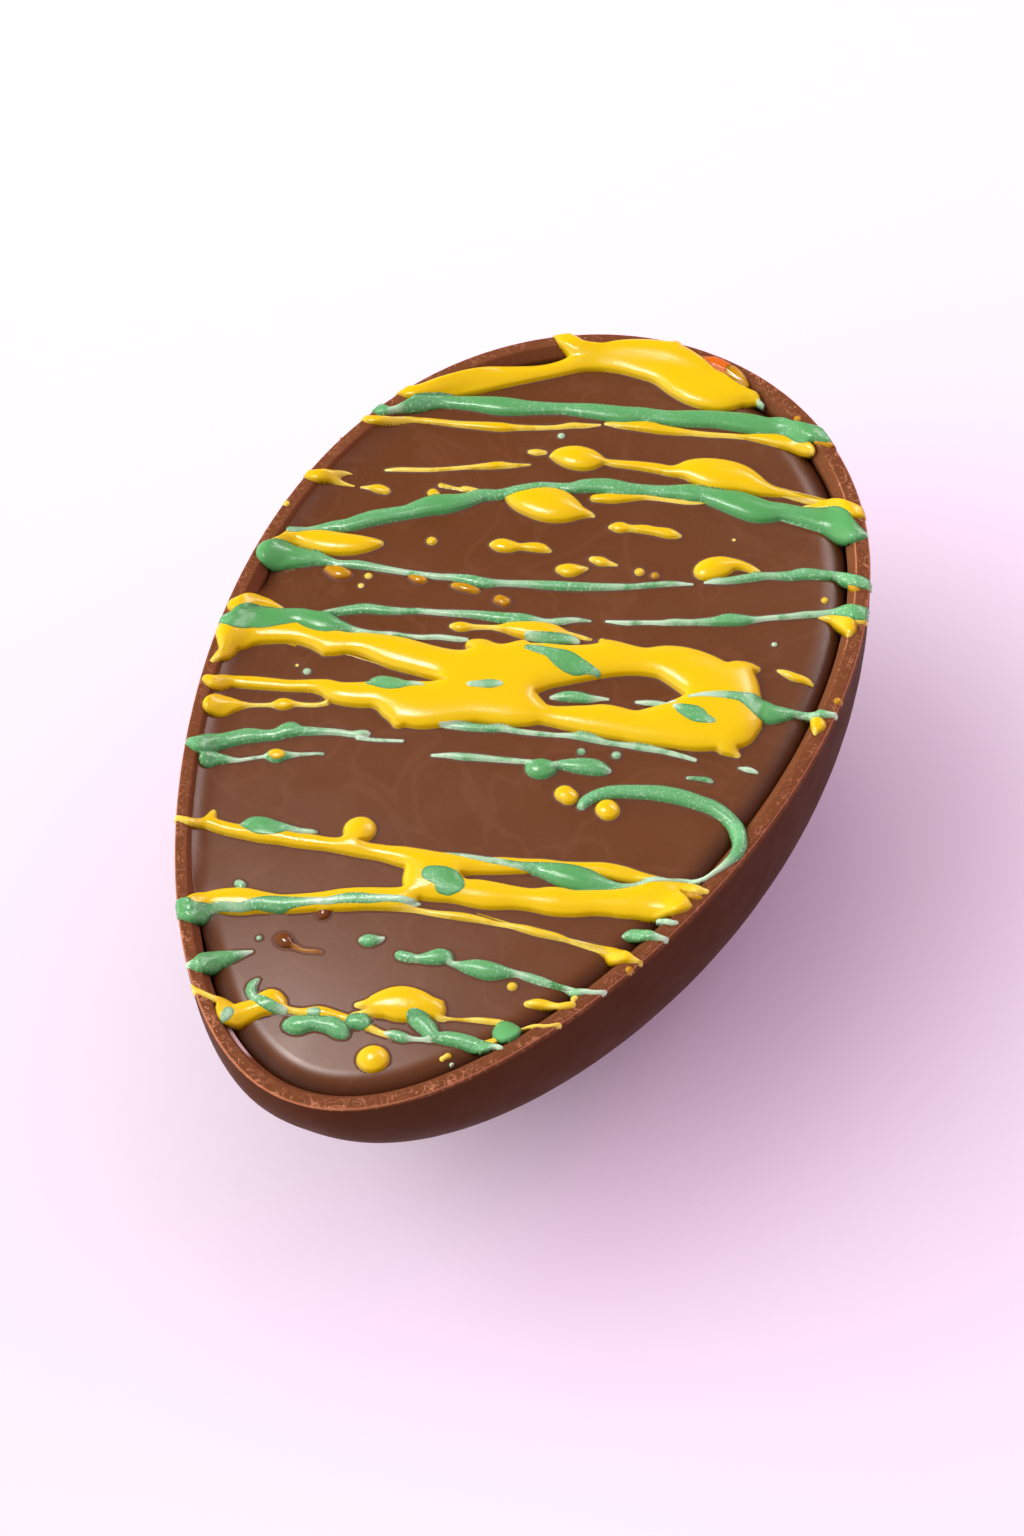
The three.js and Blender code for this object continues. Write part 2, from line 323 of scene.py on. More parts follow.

# %% [markdown]
# ## The shell
# The shell came out of a mould, so its outside is smooth. Its edge was scraped level, and
# that left a band about 2 mm wide with crinkles, wavy ridges and small chips, all a lighter
# orange brown where the chocolate broke. Inside the band a smooth slope leads down to the
# slab. Near the pointed end a narrow glossy ledge runs along its foot, and its pale colour is
# a painted glint. The rings carry the whole profile and the low relief of the band. They also
# keep how far each place was scraped and how rough it broke, and the finish draws the fine
# curls there. Where that mark runs high, along the outer edge and on the inner edge towards
# the blunt end on the right, the finish paints a thin pale highlight line.

# %% Shell rings
ridge_height, crinkle_height, chip_depth = 0.05, 0.035, 0.10
ledge_start = 0.6


def scraped_band(inset):
    """Relief of the scraped band on one ring, in mm. It starts from nothing at the edge."""
    x, y = outline(angles, inset)
    height = ridge_height * cloud(x, y, 2.6, 3.1) + crinkle_height * cloud(x, y, 1.1, 7.7)
    chip = np.clip(3.2 * cloud(x, y, 1.6, 55.0) - 1.0, 0, 1) * (1 - 0.5 * inset / rim_width)
    return (height - chip_depth * chip) * min(1, 3 * inset / rim_width)


shell_rings, scraped_marks, scuff_and_glint_marks, ledge_marks = [], [], [], []


def lay(ring, scraped=0.0, scuff_and_glint=0.0, ledge=0.0):
    """Adds a shell ring: how far it was scraped, how rough it broke, over 1 a painted highlight."""
    shell_rings.append(ring)
    scraped_marks.append(np.full(around + 1, scraped))
    scuff_and_glint_marks.append(scuff_and_glint * scuff_round)
    ledge_marks.append(ledge * ledge_round)


roughest = np.maximum(bump(168, 32), np.maximum(bump(205, 25), 0.9 * bump(28, 42)))
scuff_round = 0.45 + 0.55 * roughest
# The ledge at the pointed end; its finish paints a pale glint on it.
ledge_round = bump(202, 7)
# Scuff marks of the inner edge: above 1, on the right towards the blunt end, a painted highlight line.
inner_scuff_and_glint = 0.2 + 2.2 * bump(55, 22)
for step in (*np.linspace(1, 0.07, 26), 0.035, 0.012):
    lay(curved_wall(step, 0, -edge_drop, depth_ratio))
# The outer edge rings get scuff marks above 1: a painted highlight line along the rim's edge.
for inset, height, scuff_and_glint in ((0.0, -0.35, 0.8), (0.05, -0.2, 4.2), (0.13, -0.1, 2.8)):
    lay(level_ring(inset, height), 1.0, scuff_and_glint)
for inset in np.linspace(0.25, rim_width, 18):
    lay(level_ring(inset, scraped_band(inset) - 0.05 * (inset < 0.3)), 1.0, 1.25 - 0.5 * inset)
for inset, height in ((2.1, -0.05), (2.22, -0.17)):
    lay(level_ring(inset, height), 1.0, inner_scuff_and_glint)
for inset in np.linspace(2.4, wall_at_rim, 10):
    share = (inset - rim_width) / (wall_at_rim - rim_width)
    on_ledge = min(1.7 * share, 1) + 0.1 * max(share - ledge_start, 0)
    fall = (1 - ledge_round) * share ** 1.1 + ledge_round * on_ledge
    lay(level_ring(inset, -slope_depth * fall), 1.0, 0.12, share > ledge_start)
for step in np.linspace(0.03, 1, 9):
    lay(curved_wall(step, wall_at_rim, -slope_depth, cavity_ratio), 0.5)
for ring in shell_rings:
    ring[:, 2] = np.maximum(ring[:, 2], 0)

shell_bm = ring_sheet("shell", shell_rings, {"scraped": scraped_marks, "scuff_and_glint": scuff_and_glint_marks,
                                           "ledge": ledge_marks})
print("shell:", len(shell_rings), "rings, triangles and open edges", tally(shell_bm))

# %% [markdown]
# ## The slab
# The slab was poured level and shrank a little as it set. On the left it still clings to the
# slope of the shell and climbs it, and on the right and at both ends it has a rounded edge
# and a dark groove. One number around the egg, from 0 for an open groove to 1 for a snug fit,
# drives the gap, the climb and the fall of the edge. In three places the groove opens a
# little more. Where the groove is open, painted shade darkens the edge towards it. The top
# has a very low unevenness, which makes its sheen look poured.

# %% Slab rings
snug_from, snug_to = 226, 316
overlap, snug_climb, groove_opening, swell_height = 1.0, 1.05, 0.75, 0.03
degrees = np.degrees(angles)
snug = 1 / ((1 + np.exp((snug_from - degrees) / 4)) * (1 + np.exp((degrees - snug_to) / 3)))
snug = snug * (1 - 0.8 * bump(278, 4))
open_groove = bump(329, 8) + 0.6 * bump(342, 7) + 0.5 * bump(222, 6)
gap = slab_gap * (1 - snug) + groove_opening * open_groove - overlap * snug
climb = snug_climb * snug
fall = slab_edge_drop * (1 - snug)


def unevenness(x, y):
    """The very low swell of the poured top, in mm."""
    return swell_height * cloud(x, y, 19.0, 2.0)


# Edge marks for painted shade: the slab's colour darkens towards the open groove.
slab_rings, painted_shade_marks = [], []
wall_steps = np.linspace(1, 0, 11)
for step in wall_steps:
    ring = curved_wall(step, wall_at_rim + (gap if step < 1 else slab_gap), -slope_depth, slab_ratio)
    ring[:, 2] = np.minimum(ring[:, 2], rim_height - slab_level - fall + climb - 0.3 * snug)
    slab_rings.append(ring)
    painted_shade_marks.append(1 - snug)
for share in (0.03, 0.08, 0.15, 0.24, 0.34, 0.45, 0.57, 0.7, 0.85, 1.0):
    height = climb * (1 - share) ** 3 - fall * (1 - math.sqrt(1 - (1 - share) ** 2))
    inset = wall_at_rim + gap + share * (slab_edge_width + slab_gap - gap)
    slab_rings.append(level_ring(inset, height - slab_level))
    painted_shade_marks.append((1 - snug) * (1 - share) ** 1.2)
for share in (0.93, 0.85, 0.76, 0.66, 0.55, 0.44, 0.33, 0.22, 0.11, 0.0):
    ring = level_ring(wall_at_rim + slab_gap + slab_edge_width, -slab_level)
    ring[:, 0] *= share
    slab_rings.append(ring)
    painted_shade_marks.append(0 * snug)
for ring in slab_rings[len(wall_steps):]:
    ring[:, 2] += unevenness(ring[:, 0], ring[:, 1])

slab_bm = ring_sheet("slab", slab_rings, {"edge": painted_shade_marks})
print("slab:", len(slab_rings), "rings, triangles and open edges", tally(slab_bm))

# %% [markdown]
# ## Where the pours lie
# The spoon went from side to side, so most pours run across the egg with a small slant.
# Each one is a list of places along its path, as x, y and full width in mm. A colour's pours
# are kept in three zones, from the blunt end to the pointed one. Specks have one place. A few
# small spots of glaze, amber, red and brown, and one yellow bead that lies on green come last.

# %% Yellow pours, blunt end
def specks(*places):
    """Pours that are one small spot each."""
    return {"speck %d" % number: [place] for number, place in enumerate(places, 1)}


yellow_blunt = {
    "top band": [(-42.3, 53.6, 1.6), (-41, 54.4, 2.4), (-38.5, 55.6, 2.6), (-35, 58.4, 3.6), (-30, 61, 4.3),
        (-25, 64.1, 3.6), (-20, 67.3, 2.9), (-15, 71.2, 3.6), (-10, 74, 5.8), (-5, 75.1, 7.5),
        (-2, 75.1, 8.2), (2, 73.6, 8.6), (5, 72.5, 8), (8, 72.3, 7.2), (10, 72.5, 5.6), (12, 72.9, 3.4),
        (13.8, 73.6, 2), (14.8, 73.3, 0.6)],
    "top band tip": [(-2.3, 77, 5), (-2.3, 79, 2.6), (-2.3, 80.2, 1)],
    "top arm": [(-23.3, 74.6, 1), (-21.5, 75, 2.4), (-19, 74.1, 3.4), (-17, 73.4, 3.6), (-14, 73.2, 4)],
    "rim string": [(-45.1, 46.5, 1), (-43.5, 47, 1.6), (-42, 47.6, 1.4), (-40, 48.5, 1.1), (-35, 50.1, 1.1),
        (-30, 51.2, 1.2), (-27, 52, 1.5), (-23, 53.1, 1.8), (-20, 54.1, 1.1), (-15, 56, 0.8),
        (-12, 57.6, 1.1), (-10, 58.3, 0.9), (-7.8, 59.3, 0.3)],
    "side of green one": [(-6.8, 60, 0.6), (-4, 60.6, 1.4), (0, 61.7, 2.2), (2, 61.9, 1.9), (5, 62.5, 1.5),
        (7, 63, 1.1), (10, 63.7, 1), (13, 64.6, 0.9), (16, 65.4, 1.1), (19, 66.1, 2.2), (22, 66.5, 2.8),
        (25, 66.5, 2.4), (26.4, 66.4, 1.7), (27, 66.2, 0.9)],
    "bead string": [(-12.6, 50.2, 0.5), (-11.2, 50.8, 3), (-9, 51.2, 4.8), (-7, 51.5, 4.6),
        (-5.4, 51.9, 2.8), (-4, 52.2, 1.2), (-2, 52.5, 1.4), (2, 53.4, 1.8), (5, 53.9, 2), (7, 54.1, 2.1),
        (8.5, 54.7, 2.8), (10, 55.4, 4.2), (12, 55.7, 5.7), (14, 55.9, 6.5), (16, 56.3, 6.3),
        (18, 56.5, 5.6), (20, 56.3, 4.5), (22, 55.9, 3.3), (24, 55.9, 2.2), (27, 56.3, 1.3), (30, 56.5, 1),
        (32.5, 56.4, 1.2), (34, 56.4, 2.4), (36, 56.5, 3), (38, 56.5, 2.7), (39.4, 56.4, 1.3)],
    "fork of bead string": [(30.3, 54.6, 0.8), (32, 55, 1.6), (34, 55.6, 2.2)],
    "side of green two": [(-2.5, 44.4, 1.5), (0, 45.3, 2), (2, 46.2, 1.8), (5, 47.5, 1.1), (8, 48.1, 0.7),
        (12, 48.9, 0.7), (15, 50, 0.3)],
    "second bead": [(-16, 39.6, 1.2), (-15, 40, 3), (-13, 40, 5.2), (-10, 40.3, 6.9), (-8, 40.5, 6.9),
        (-6, 40.5, 5.2), (-4, 40.6, 2.8), (-2.2, 40.9, 1.3), (-1.3, 40.8, 0.4)],
    "fine string": [(-37, 37.9, 0.3), (-35, 38.8, 0.7), (-30, 40.6, 0.7), (-25, 43, 0.7), (-22, 44.4, 1.2),
        (-20, 45.4, 1.4), (-18, 46.1, 0.9), (-15.3, 47.3, 0.2)],
    "left rim fork": [(-48.6, 32.3, 1.6), (-46.8, 32.8, 2.4), (-45, 33.9, 1.5), (-43.3, 34.8, 0.8),
        (-41.9, 35.1, 0.3)],
    "left rim fork two": [(-46, 33.6, 1.2), (-44.6, 33.2, 1.3), (-43, 32.7, 1.1), (-41.6, 32.8, 0.5),
        (-40.6, 32.9, 0.2)],
    "left chip": [(-39.3, 33.1, 0.2), (-38, 33.5, 0.8), (-36.5, 33.8, 1.7), (-35.2, 33.8, 1.4)],
    "pair of blobs": [(-14.2, 29.5, 1.2), (-13, 29.8, 2.6), (-11.5, 30.1, 2.3), (-10, 30.6, 1.3),
        (-8, 31.3, 1.8), (-6.5, 31.6, 1.7), (-5.2, 31.5, 0.6)],
    "blob one": [(-2, 28.6, 1.6), (-0.8, 28.8, 2.6), (0.3, 29.3, 2.1), (1.8, 30.2, 0.5)],
    "blob two": [(2, 32.4, 1), (3.5, 32.4, 1.8), (4.6, 32.5, 1.1), (6.1, 32.6, 0.3)],
    "row of blobs": [(2.3, 39.7, 0.8), (3.6, 40.1, 2.1), (5.3, 40.5, 1.3), (7.4, 41.1, 1.7),
        (9.5, 41.4, 1.7), (11.6, 41.7, 2), (13, 41.8, 1), (13.5, 41.9, 0.3)],
    "comma": [(19.6, 36, 2.6), (20.3, 36.8, 4.2), (21.8, 38, 4.2), (23.3, 39.1, 2.6), (25, 39.6, 1.8),
        (27, 39.4, 1.4), (28.4, 39.2, 0.5)],
    "rim bead right": [(40.5, 34.2, 0.6), (42.3, 34.5, 1.5), (44.3, 34.4, 2.6), (45.6, 33.5, 2.2),
        (46, 32.4, 0.8)],
    "rim bead right two": [(46.4, 35.3, 0.8), (47.3, 36, 1.3), (47.9, 36.7, 0.6)],
    "left tongue": [(-49.3, 16.3, 0.8), (-47, 18.3, 1.4), (-45, 19.3, 3), (-42, 19.9, 4.4),
        (-40, 20.2, 4.8), (-38, 20.6, 4.6), (-36, 21.2, 4.2), (-34, 22, 3.3), (-32, 23, 1.7),
        (-31.5, 23.3, 0.8)],
    "knob": [(-27.8, 36.1, 1.7), (-27.3, 35.9, 1.6)],
    "dash left": [(-27.2, 38.1, 0.8), (-24.2, 38.4, 0.5), (-23, 38.8, 1.1), (-20.6, 39.2, 0.6)],
    "pale oval": [(-16.3, 49.9, 0.7), (-15.2, 50.2, 1.2), (-14, 50.6, 0.7)],
    "rim chip": [(-47, 41.3, 0.9)],
    "rim chip two": [(-49.3, 25.5, 1)],
    **specks((10.1, 32.6, 1.5), (-23.9, 26.7, 1.6), (40, 37.7, 1.1), (21.9, 44.2, 0.4)),
}
print(len(yellow_blunt), "yellow pours")

# %% Yellow pours, middle
yellow_middle = {
    "right lens": [(38.2, 21.7, 0.4), (39.5, 21.6, 1.2), (41, 21.4, 1.5), (43, 21.4, 1.1), (44.3, 21, 0.2)],
    "drop under strand": [(-13.8, 11.7, 0.8), (-12.5, 12, 1.9), (-10.5, 12.7, 1), (-8, 13.6, 0.8),
        (-6.5, 14, 1.2), (-5, 14.5, 2.2), (-3, 15, 3.4), (0, 15.6, 3.7), (2, 16, 3.2), (4, 16.5, 1.4),
        (6, 16.8, 0.9), (8, 17, 0.3)],
    "big band start": [(-48, 3.2, 2.8), (-46.2, 4.3, 3.6), (-44, 4.9, 2.8), (-42.2, 5.2, 1.4),
        (-41, 5.3, 0.5)],
    "big band": [(-47.6, -1.5, 2.4), (-46.5, -2.4, 4.4), (-44.5, -1.5, 5.6), (-42, 0, 5.6), (-39, 1, 5),
        (-36, 1.6, 4.4), (-33, 1.6, 4.4), (-30.6, 1.6, 5), (-28, 2.4, 4.2), (-25, 3.2, 4.7),
        (-20, 3.4, 6.3), (-15, 3.6, 6.3), (-12, 3.8, 6.4), (-9, 4, 7.4), (-6, 4.6, 9), (-3, 5.6, 11),
        (0, 7.2, 10.4), (3, 9.2, 9), (6, 10.6, 7.8), (9, 12.2, 7), (12, 13.9, 6.6), (15, 15, 5.8),
        (18, 15.8, 5.4), (21, 16.8, 6.6), (24, 16.8, 8), (27, 16.2, 9), (30, 15.2, 9.4)],
    "drip under big band": [(-30.7, 0.6, 2.6), (-30.7, -0.5, 1.2)],
    "big band lobe": [(-9.2, 9.2, 2.2), (-7.4, 9.5, 2.8), (-5.6, 9.4, 2.4)],
    "big band knob": [(-2.6, 10.5, 3), (-1.8, 12, 1.8), (-1.2, 12.3, 1.2)],
    "big band bump": [(11, 16.6, 2.4), (13, 16.7, 2.6), (15.5, 16.4, 2.8)],
    "rim drips left": [(-46, -4, 3.4), (-45.6, -5.6, 2.4), (-46.1, -7, 1.7), (-46.7, -8.2, 0.8)],
    "edge drip left": [(-43.8, -2.8, 2.6), (-43.6, -4, 1.2)],
    "lower branch": [(-46, -12, 1.6), (-44.5, -12.1, 2.4), (-42, -11.1, 2.2), (-39, -10.2, 2.4),
        (-36, -9.4, 2.3), (-33, -8.6, 2.2), (-30, -7.5, 2.4), (-27.5, -7, 3.2), (-25, -7.2, 4.2),
        (-22, -6.4, 4.8), (-19.5, -5.4, 5.2), (-17, -5, 6.6), (-14.5, -5.2, 8.4), (-12, -4.8, 9.2),
        (-9.5, -3.8, 8.8), (-7, -2.8, 8), (-4, -0.9, 8.6), (0, 0.4, 9.2), (3, 0.3, 7.2), (6, 0.3, 4.2),
        (8, 0.5, 3.8), (10, 0.9, 4.3), (12, 1.4, 5), (14, 1.9, 5.6), (16, 2.5, 6.3), (18, 2.8, 6.3),
        (20, 3, 6), (22, 3.4, 6.4), (24, 4.3, 7.4), (27, 5.8, 9), (30, 7.5, 11), (33, 8.8, 11),
        (35.5, 8.4, 8), (37, 7.6, 4.4)],
    "right mass": [(30, 15.4, 8), (33, 13.6, 8.4), (35.5, 12, 7.4), (37.5, 10, 4.4)],
    "right mass top": [(31.6, 19.8, 2.2), (33.4, 20.5, 1.9), (34.8, 20.7, 1.2)],
    "right mass corner": [(36, 4.6, 3), (37.6, 4, 1.4), (38.2, 3.8, 0.8)],
    "big lobe low": [(-14.2, -8, 3.6), (-14, -9.3, 2)],
    "teardrop string": [(-42.8, -16.4, 3.4), (-41.6, -16.2, 4), (-40, -15.5, 2.6), (-38, -14.6, 1),
        (-36.5, -14, 0.6), (-34.5, -13.2, 0.7), (-33.8, -12.9, 1.2), (-32.8, -12.4, 2.2), (-31.8, -12, 1.8),
        (-30.8, -11.6, 0.9), (-29, -11.1, 0.7), (-27.5, -10.5, 0.7), (-26.3, -9.7, 0.8)],
    "bead a": [(15.8, -12.7, 3.1), (16.6, -13, 3)],
    "bead b": [(23.1, -13.1, 3.6), (23.4, -13.3, 3.5)],
    "right tail drop": [(46.7, 14.4, 0.8), (47.7, 13.9, 2.4), (47.8, 12.6, 1), (47.9, 11.9, 0.3)],
    "right mass slope": [(32.5, 18.6, 5), (34.5, 16.5, 4.5), (36.2, 13.5, 4)],
    "lower lobe": [(-16, -7.2, 3.4), (-14.7, -7, 4.4)],
    **specks((-30.6, 16.4, 1.1), (-30.9, 14.1, 0.8), (9.8, 17.3, 0.9), (-33.8, -4.4, 0.4)),
}
print(len(yellow_middle), "yellow pours")

# %% Yellow pours, pointed end
yellow_pointed = {
    "left low band": [(-38.6, -38.4, 0.9), (-37, -38.3, 1.2), (-35, -38.2, 1.6), (-33, -37.8, 2.3),
        (-30, -37.6, 2.4), (-27.5, -37.2, 2.6), (-25, -36.6, 3.2), (-22, -36, 3), (-20, -35.9, 2.6),
        (-17, -35.2, 2.7), (-15, -34.8, 2.5), (-12, -34.2, 2.8), (-10, -34, 2.7), (-7, -33.4, 2.9),
        (-5, -33.1, 3.1), (-3, -32.8, 3.7), (0, -32.4, 4), (3, -32, 4.2), (6, -31, 4), (8, -30.3, 3.5),
        (10, -29.7, 3.1), (12, -28.9, 3.1), (15, -27.8, 2.7), (18, -26.6, 2.4), (21, -25.8, 2.2),
        (24, -24.8, 2.2), (27, -24, 2.7), (30, -23.6, 2.7), (33, -23.3, 2), (36, -22.9, 1.4),
        (40, -22.4, 1.2), (43, -22, 0.8)],
    "low band spike": [(-33.8, -37.3, 2), (-33.9, -36.2, 1.5), (-34, -35.4, 0.7)],
    "ball": [(-11.3, -30.6, 4.8), (-11.1, -30.4, 4.8)],
    "ball neck": [(-11.6, -32, 2.4), (-12, -33.4, 2.6)],
    "bridge": [(1, -34, 5.4), (2, -36, 6.2), (4.5, -35.4, 6.6), (6.6, -35.4, 4.8)],
    "low right branch": [(5, -36, 4.4), (8, -35.7, 4.4), (10.5, -35.1, 5.1), (13, -34.6, 5),
        (16, -33.8, 4.2), (19, -33.1, 4.1), (22, -32.2, 5.2), (25, -31.5, 4.8), (28, -30.2, 4.6),
        (31, -29.1, 5), (31.7, -28.8, 5.4), (34.5, -27.6, 6.2), (36.6, -26.8, 6.8), (39, -26.4, 5),
        (40.4, -25.9, 3), (41.4, -25.5, 1.2)],
    "low right top": [(35.5, -24.1, 2.2), (37.9, -23.4, 2.4), (39.8, -23, 2.2), (41.3, -22.8, 1.4),
        (42.2, -22.7, 0.5)],
    "left lower arm": [(-31, -53, 2), (-29, -52.4, 3.4), (-27, -51.2, 4), (-25, -50.2, 4.6),
        (-22.5, -49.3, 4.9), (-20, -48.5, 4), (-17, -47.7, 3.4), (-14, -46.4, 3.4), (-11, -44.9, 3.5),
        (-8, -43.4, 4.1), (-5, -42, 4), (-2, -40.8, 3.8), (1, -39.4, 3.4)],
    "bright string": [(-6, -43.8, 0.9), (-3, -42.8, 1.1), (0, -41.9, 1.1), (3, -41.2, 0.9), (6, -40.7, 1),
        (10, -39.8, 1.4), (13, -39.3, 1.1), (16, -39, 0.7), (18, -38.6, 0.9), (20, -38.4, 1.3),
        (22, -38.3, 1.4), (25, -38, 1.2), (27, -38, 0.8), (30, -37.8, 0.9), (32, -37.8, 1.3),
        (33.5, -37.9, 2), (35, -38.2, 3), (36.5, -37.8, 1.8), (38, -37.6, 0.6), (38.8, -37.6, 0.2)],
    "right low yellow": [(25.6, -50.9, 1), (27, -50.3, 1.7), (28.5, -50, 1.5), (30, -49.6, 1),
        (31, -49.2, 1.3), (31.9, -48.6, 1)],
    "bottom cluster": [(-23.3, -66.3, 0.8), (-21, -66.6, 0.8), (-19, -66.9, 1), (-17.3, -67.3, 2),
        (-16, -68.4, 3.4), (-14.8, -69, 4), (-13.4, -67.6, 3.8), (-11.8, -66.2, 3), (-10, -65.3, 2.4),
        (-8.4, -65.2, 1.2)],
    "bottom blob up": [(-12.4, -64.2, 1.4), (-11, -63.6, 2.6), (-9.6, -64, 2.2), (-8.3, -64.8, 1.1),
        (-6, -64.6, 1.2), (-4.5, -64.2, 1.8), (-3, -63.6, 2.2), (-1, -63.3, 1.8), (1, -63.2, 1.5),
        (3, -63.3, 1.6), (5, -63.4, 1.2), (7, -63.6, 0.9), (8.5, -63.5, 1)],
    "bottom link": [(1.9, -62, 0.6), (4, -61.1, 1.2), (5.6, -60.5, 1.3)],
    "bottom yolk": [(1.7, -60.3, 0.8), (3.4, -59.6, 2), (5, -58.8, 4), (7.5, -57.9, 6.2), (9.5, -57.4, 5.8),
        (11.5, -57, 4.2), (13, -56.9, 3.2), (14, -58, 1), (15, -58.1, 0.4)],
    "bottom yolk spike": [(13, -56, 1.4), (13.4, -55.3, 0.5)],
    "right thin amber": [(14.5, -57.9, 0.5), (17, -57.2, 0.4), (20, -56.2, 0.9), (22.5, -55.6, 1),
        (24, -55.3, 0.6)],
    "rim thin amber": [(26.5, -55.5, 0.3), (28, -54.3, 0.5), (30, -53.2, 0.4), (31.3, -52.4, 0.4)],
    "dot bottom": [(7.8, -68.4, 4.7), (7.9, -68.3, 4.7)],
    "low drop": [(17.5, -64.5, 0.7), (18.1, -63.7, 0.9)],
    "under drop row": [(18, -61.1, 0.8), (20.7, -60.7, 1.4), (22.6, -59.9, 1.6), (23.8, -58.4, 1)],
    "right rim chip": [(31.8, -47.5, 1)],
    **specks((22.2, -48.8, 1.4)),
}
print(len(yellow_pointed), "yellow pours")

# %% Green pours, blunt end
green_blunt = {
    "green rim bead": [(-44.2, 49.2, 2), (-43, 49.5, 2.2), (-41.8, 49.8, 1.3), (-40.8, 50.6, 1),
        (-39.6, 51.7, 1.6), (-38, 53.2, 2.4), (-35, 54.4, 2.2), (-30, 56, 2.8), (-25, 57.2, 3.7),
        (-22, 58, 3.3), (-20, 58.6, 2.8), (-15, 60.3, 2.3), (-10, 61.6, 3), (-5, 62.6, 3.4), (-2, 63.7, 3),
        (2, 64.5, 3), (5, 65.4, 3.4), (7.5, 66.3, 3.5), (10, 67.1, 3.5), (15, 68.1, 4), (18, 68.5, 3.7),
        (20, 69, 3.3), (22, 69.2, 2.9), (24, 69.2, 3.8), (26, 69.7, 3.2), (28, 69.6, 2.4), (30, 69.2, 1.2)],
    "second green": [(-46.4, 20.7, 1.2), (-45, 20.9, 1.4), (-43, 22, 1.3), (-40, 23.8, 2.2),
        (-38, 24.9, 2.5), (-35, 27.5, 3), (-32, 29.5, 2.8), (-30, 30.8, 2.8), (-27, 33.4, 3.9),
        (-25, 34.5, 3.9), (-22.5, 36.1, 3), (-20, 38.4, 2.4), (-17.5, 39.5, 2), (-15, 41.4, 2),
        (-12, 43.4, 1.8), (-10, 44.2, 1.5), (-7, 45, 2), (-5, 46.2, 2.6), (-2, 47.3, 3), (0, 47.6, 3.1),
        (2, 48, 2.6), (5, 48.9, 2.2), (8, 49.7, 2.5), (10, 50.4, 2.9), (12, 50.9, 3.5), (14, 51.2, 3),
        (17, 51.3, 3.9), (20, 51.4, 5), (23, 51.2, 5), (25, 51.5, 4.2), (27, 52.3, 3.5), (30, 52.6, 3.6),
        (33, 52.8, 4), (35, 53, 4.8), (37, 52.6, 4.6), (39, 52.1, 3.6), (40.4, 52.2, 2.2),
        (41.2, 52.4, 0.9)],
    "left lobe green": [(-48.2, 15.4, 3.2), (-47, 15.2, 5), (-45, 15.2, 5), (-42, 15.9, 3.5),
        (-40, 16.6, 2.6), (-38, 16.8, 1.8), (-36, 17, 1.3), (-33, 17.9, 1.6), (-30, 18.4, 1.3),
        (-25, 19.2, 1), (-20, 20.2, 1.1), (-18, 20.8, 1.2), (-15, 21.3, 1.9), (-12.5, 21.6, 1.9),
        (-10, 22.5, 1.2), (-6, 23.8, 1.3), (-3, 24.7, 1.6), (0, 25.6, 1.7), (5, 27.3, 1.4), (10, 29.3, 1),
        (13, 30.8, 1), (16, 32.2, 0.9), (19, 33.2, 0.2)],
    "long mint": [(20.8, 34.3, 0.3), (23, 35.4, 1.1), (25, 36.4, 1.4), (28, 38.2, 1.6), (30, 39.2, 1.3),
        (33, 40.3, 1.8), (35, 41.5, 2.2), (38, 42.4, 1.9), (40, 43, 1.5), (42, 42.9, 1.9), (44, 43, 2.2),
        (45.6, 42.8, 1.2)],
    "lower mint": [(9, 21.3, 0.3), (12, 22.1, 0.8), (15, 23.3, 0.7), (17.5, 24.2, 0.9), (19, 24.9, 1.2),
        (22, 26, 1.1), (25, 27.3, 1.6), (27, 28.4, 2.3), (29, 29.1, 2), (31, 30, 1.1), (33, 31.1, 0.9),
        (36, 32.6, 1), (38, 33.7, 1.2), (40, 34.6, 1.2), (42, 35.6, 1.4), (44, 36.6, 2.6), (46, 36.9, 3),
        (47.4, 37.2, 2)],
    "lens top": [(15, 73.2, 0.6), (15.8, 72.8, 0.5)],
    **specks((-12.8, 54.9, 1)),
}
print(len(green_blunt), "green pours")

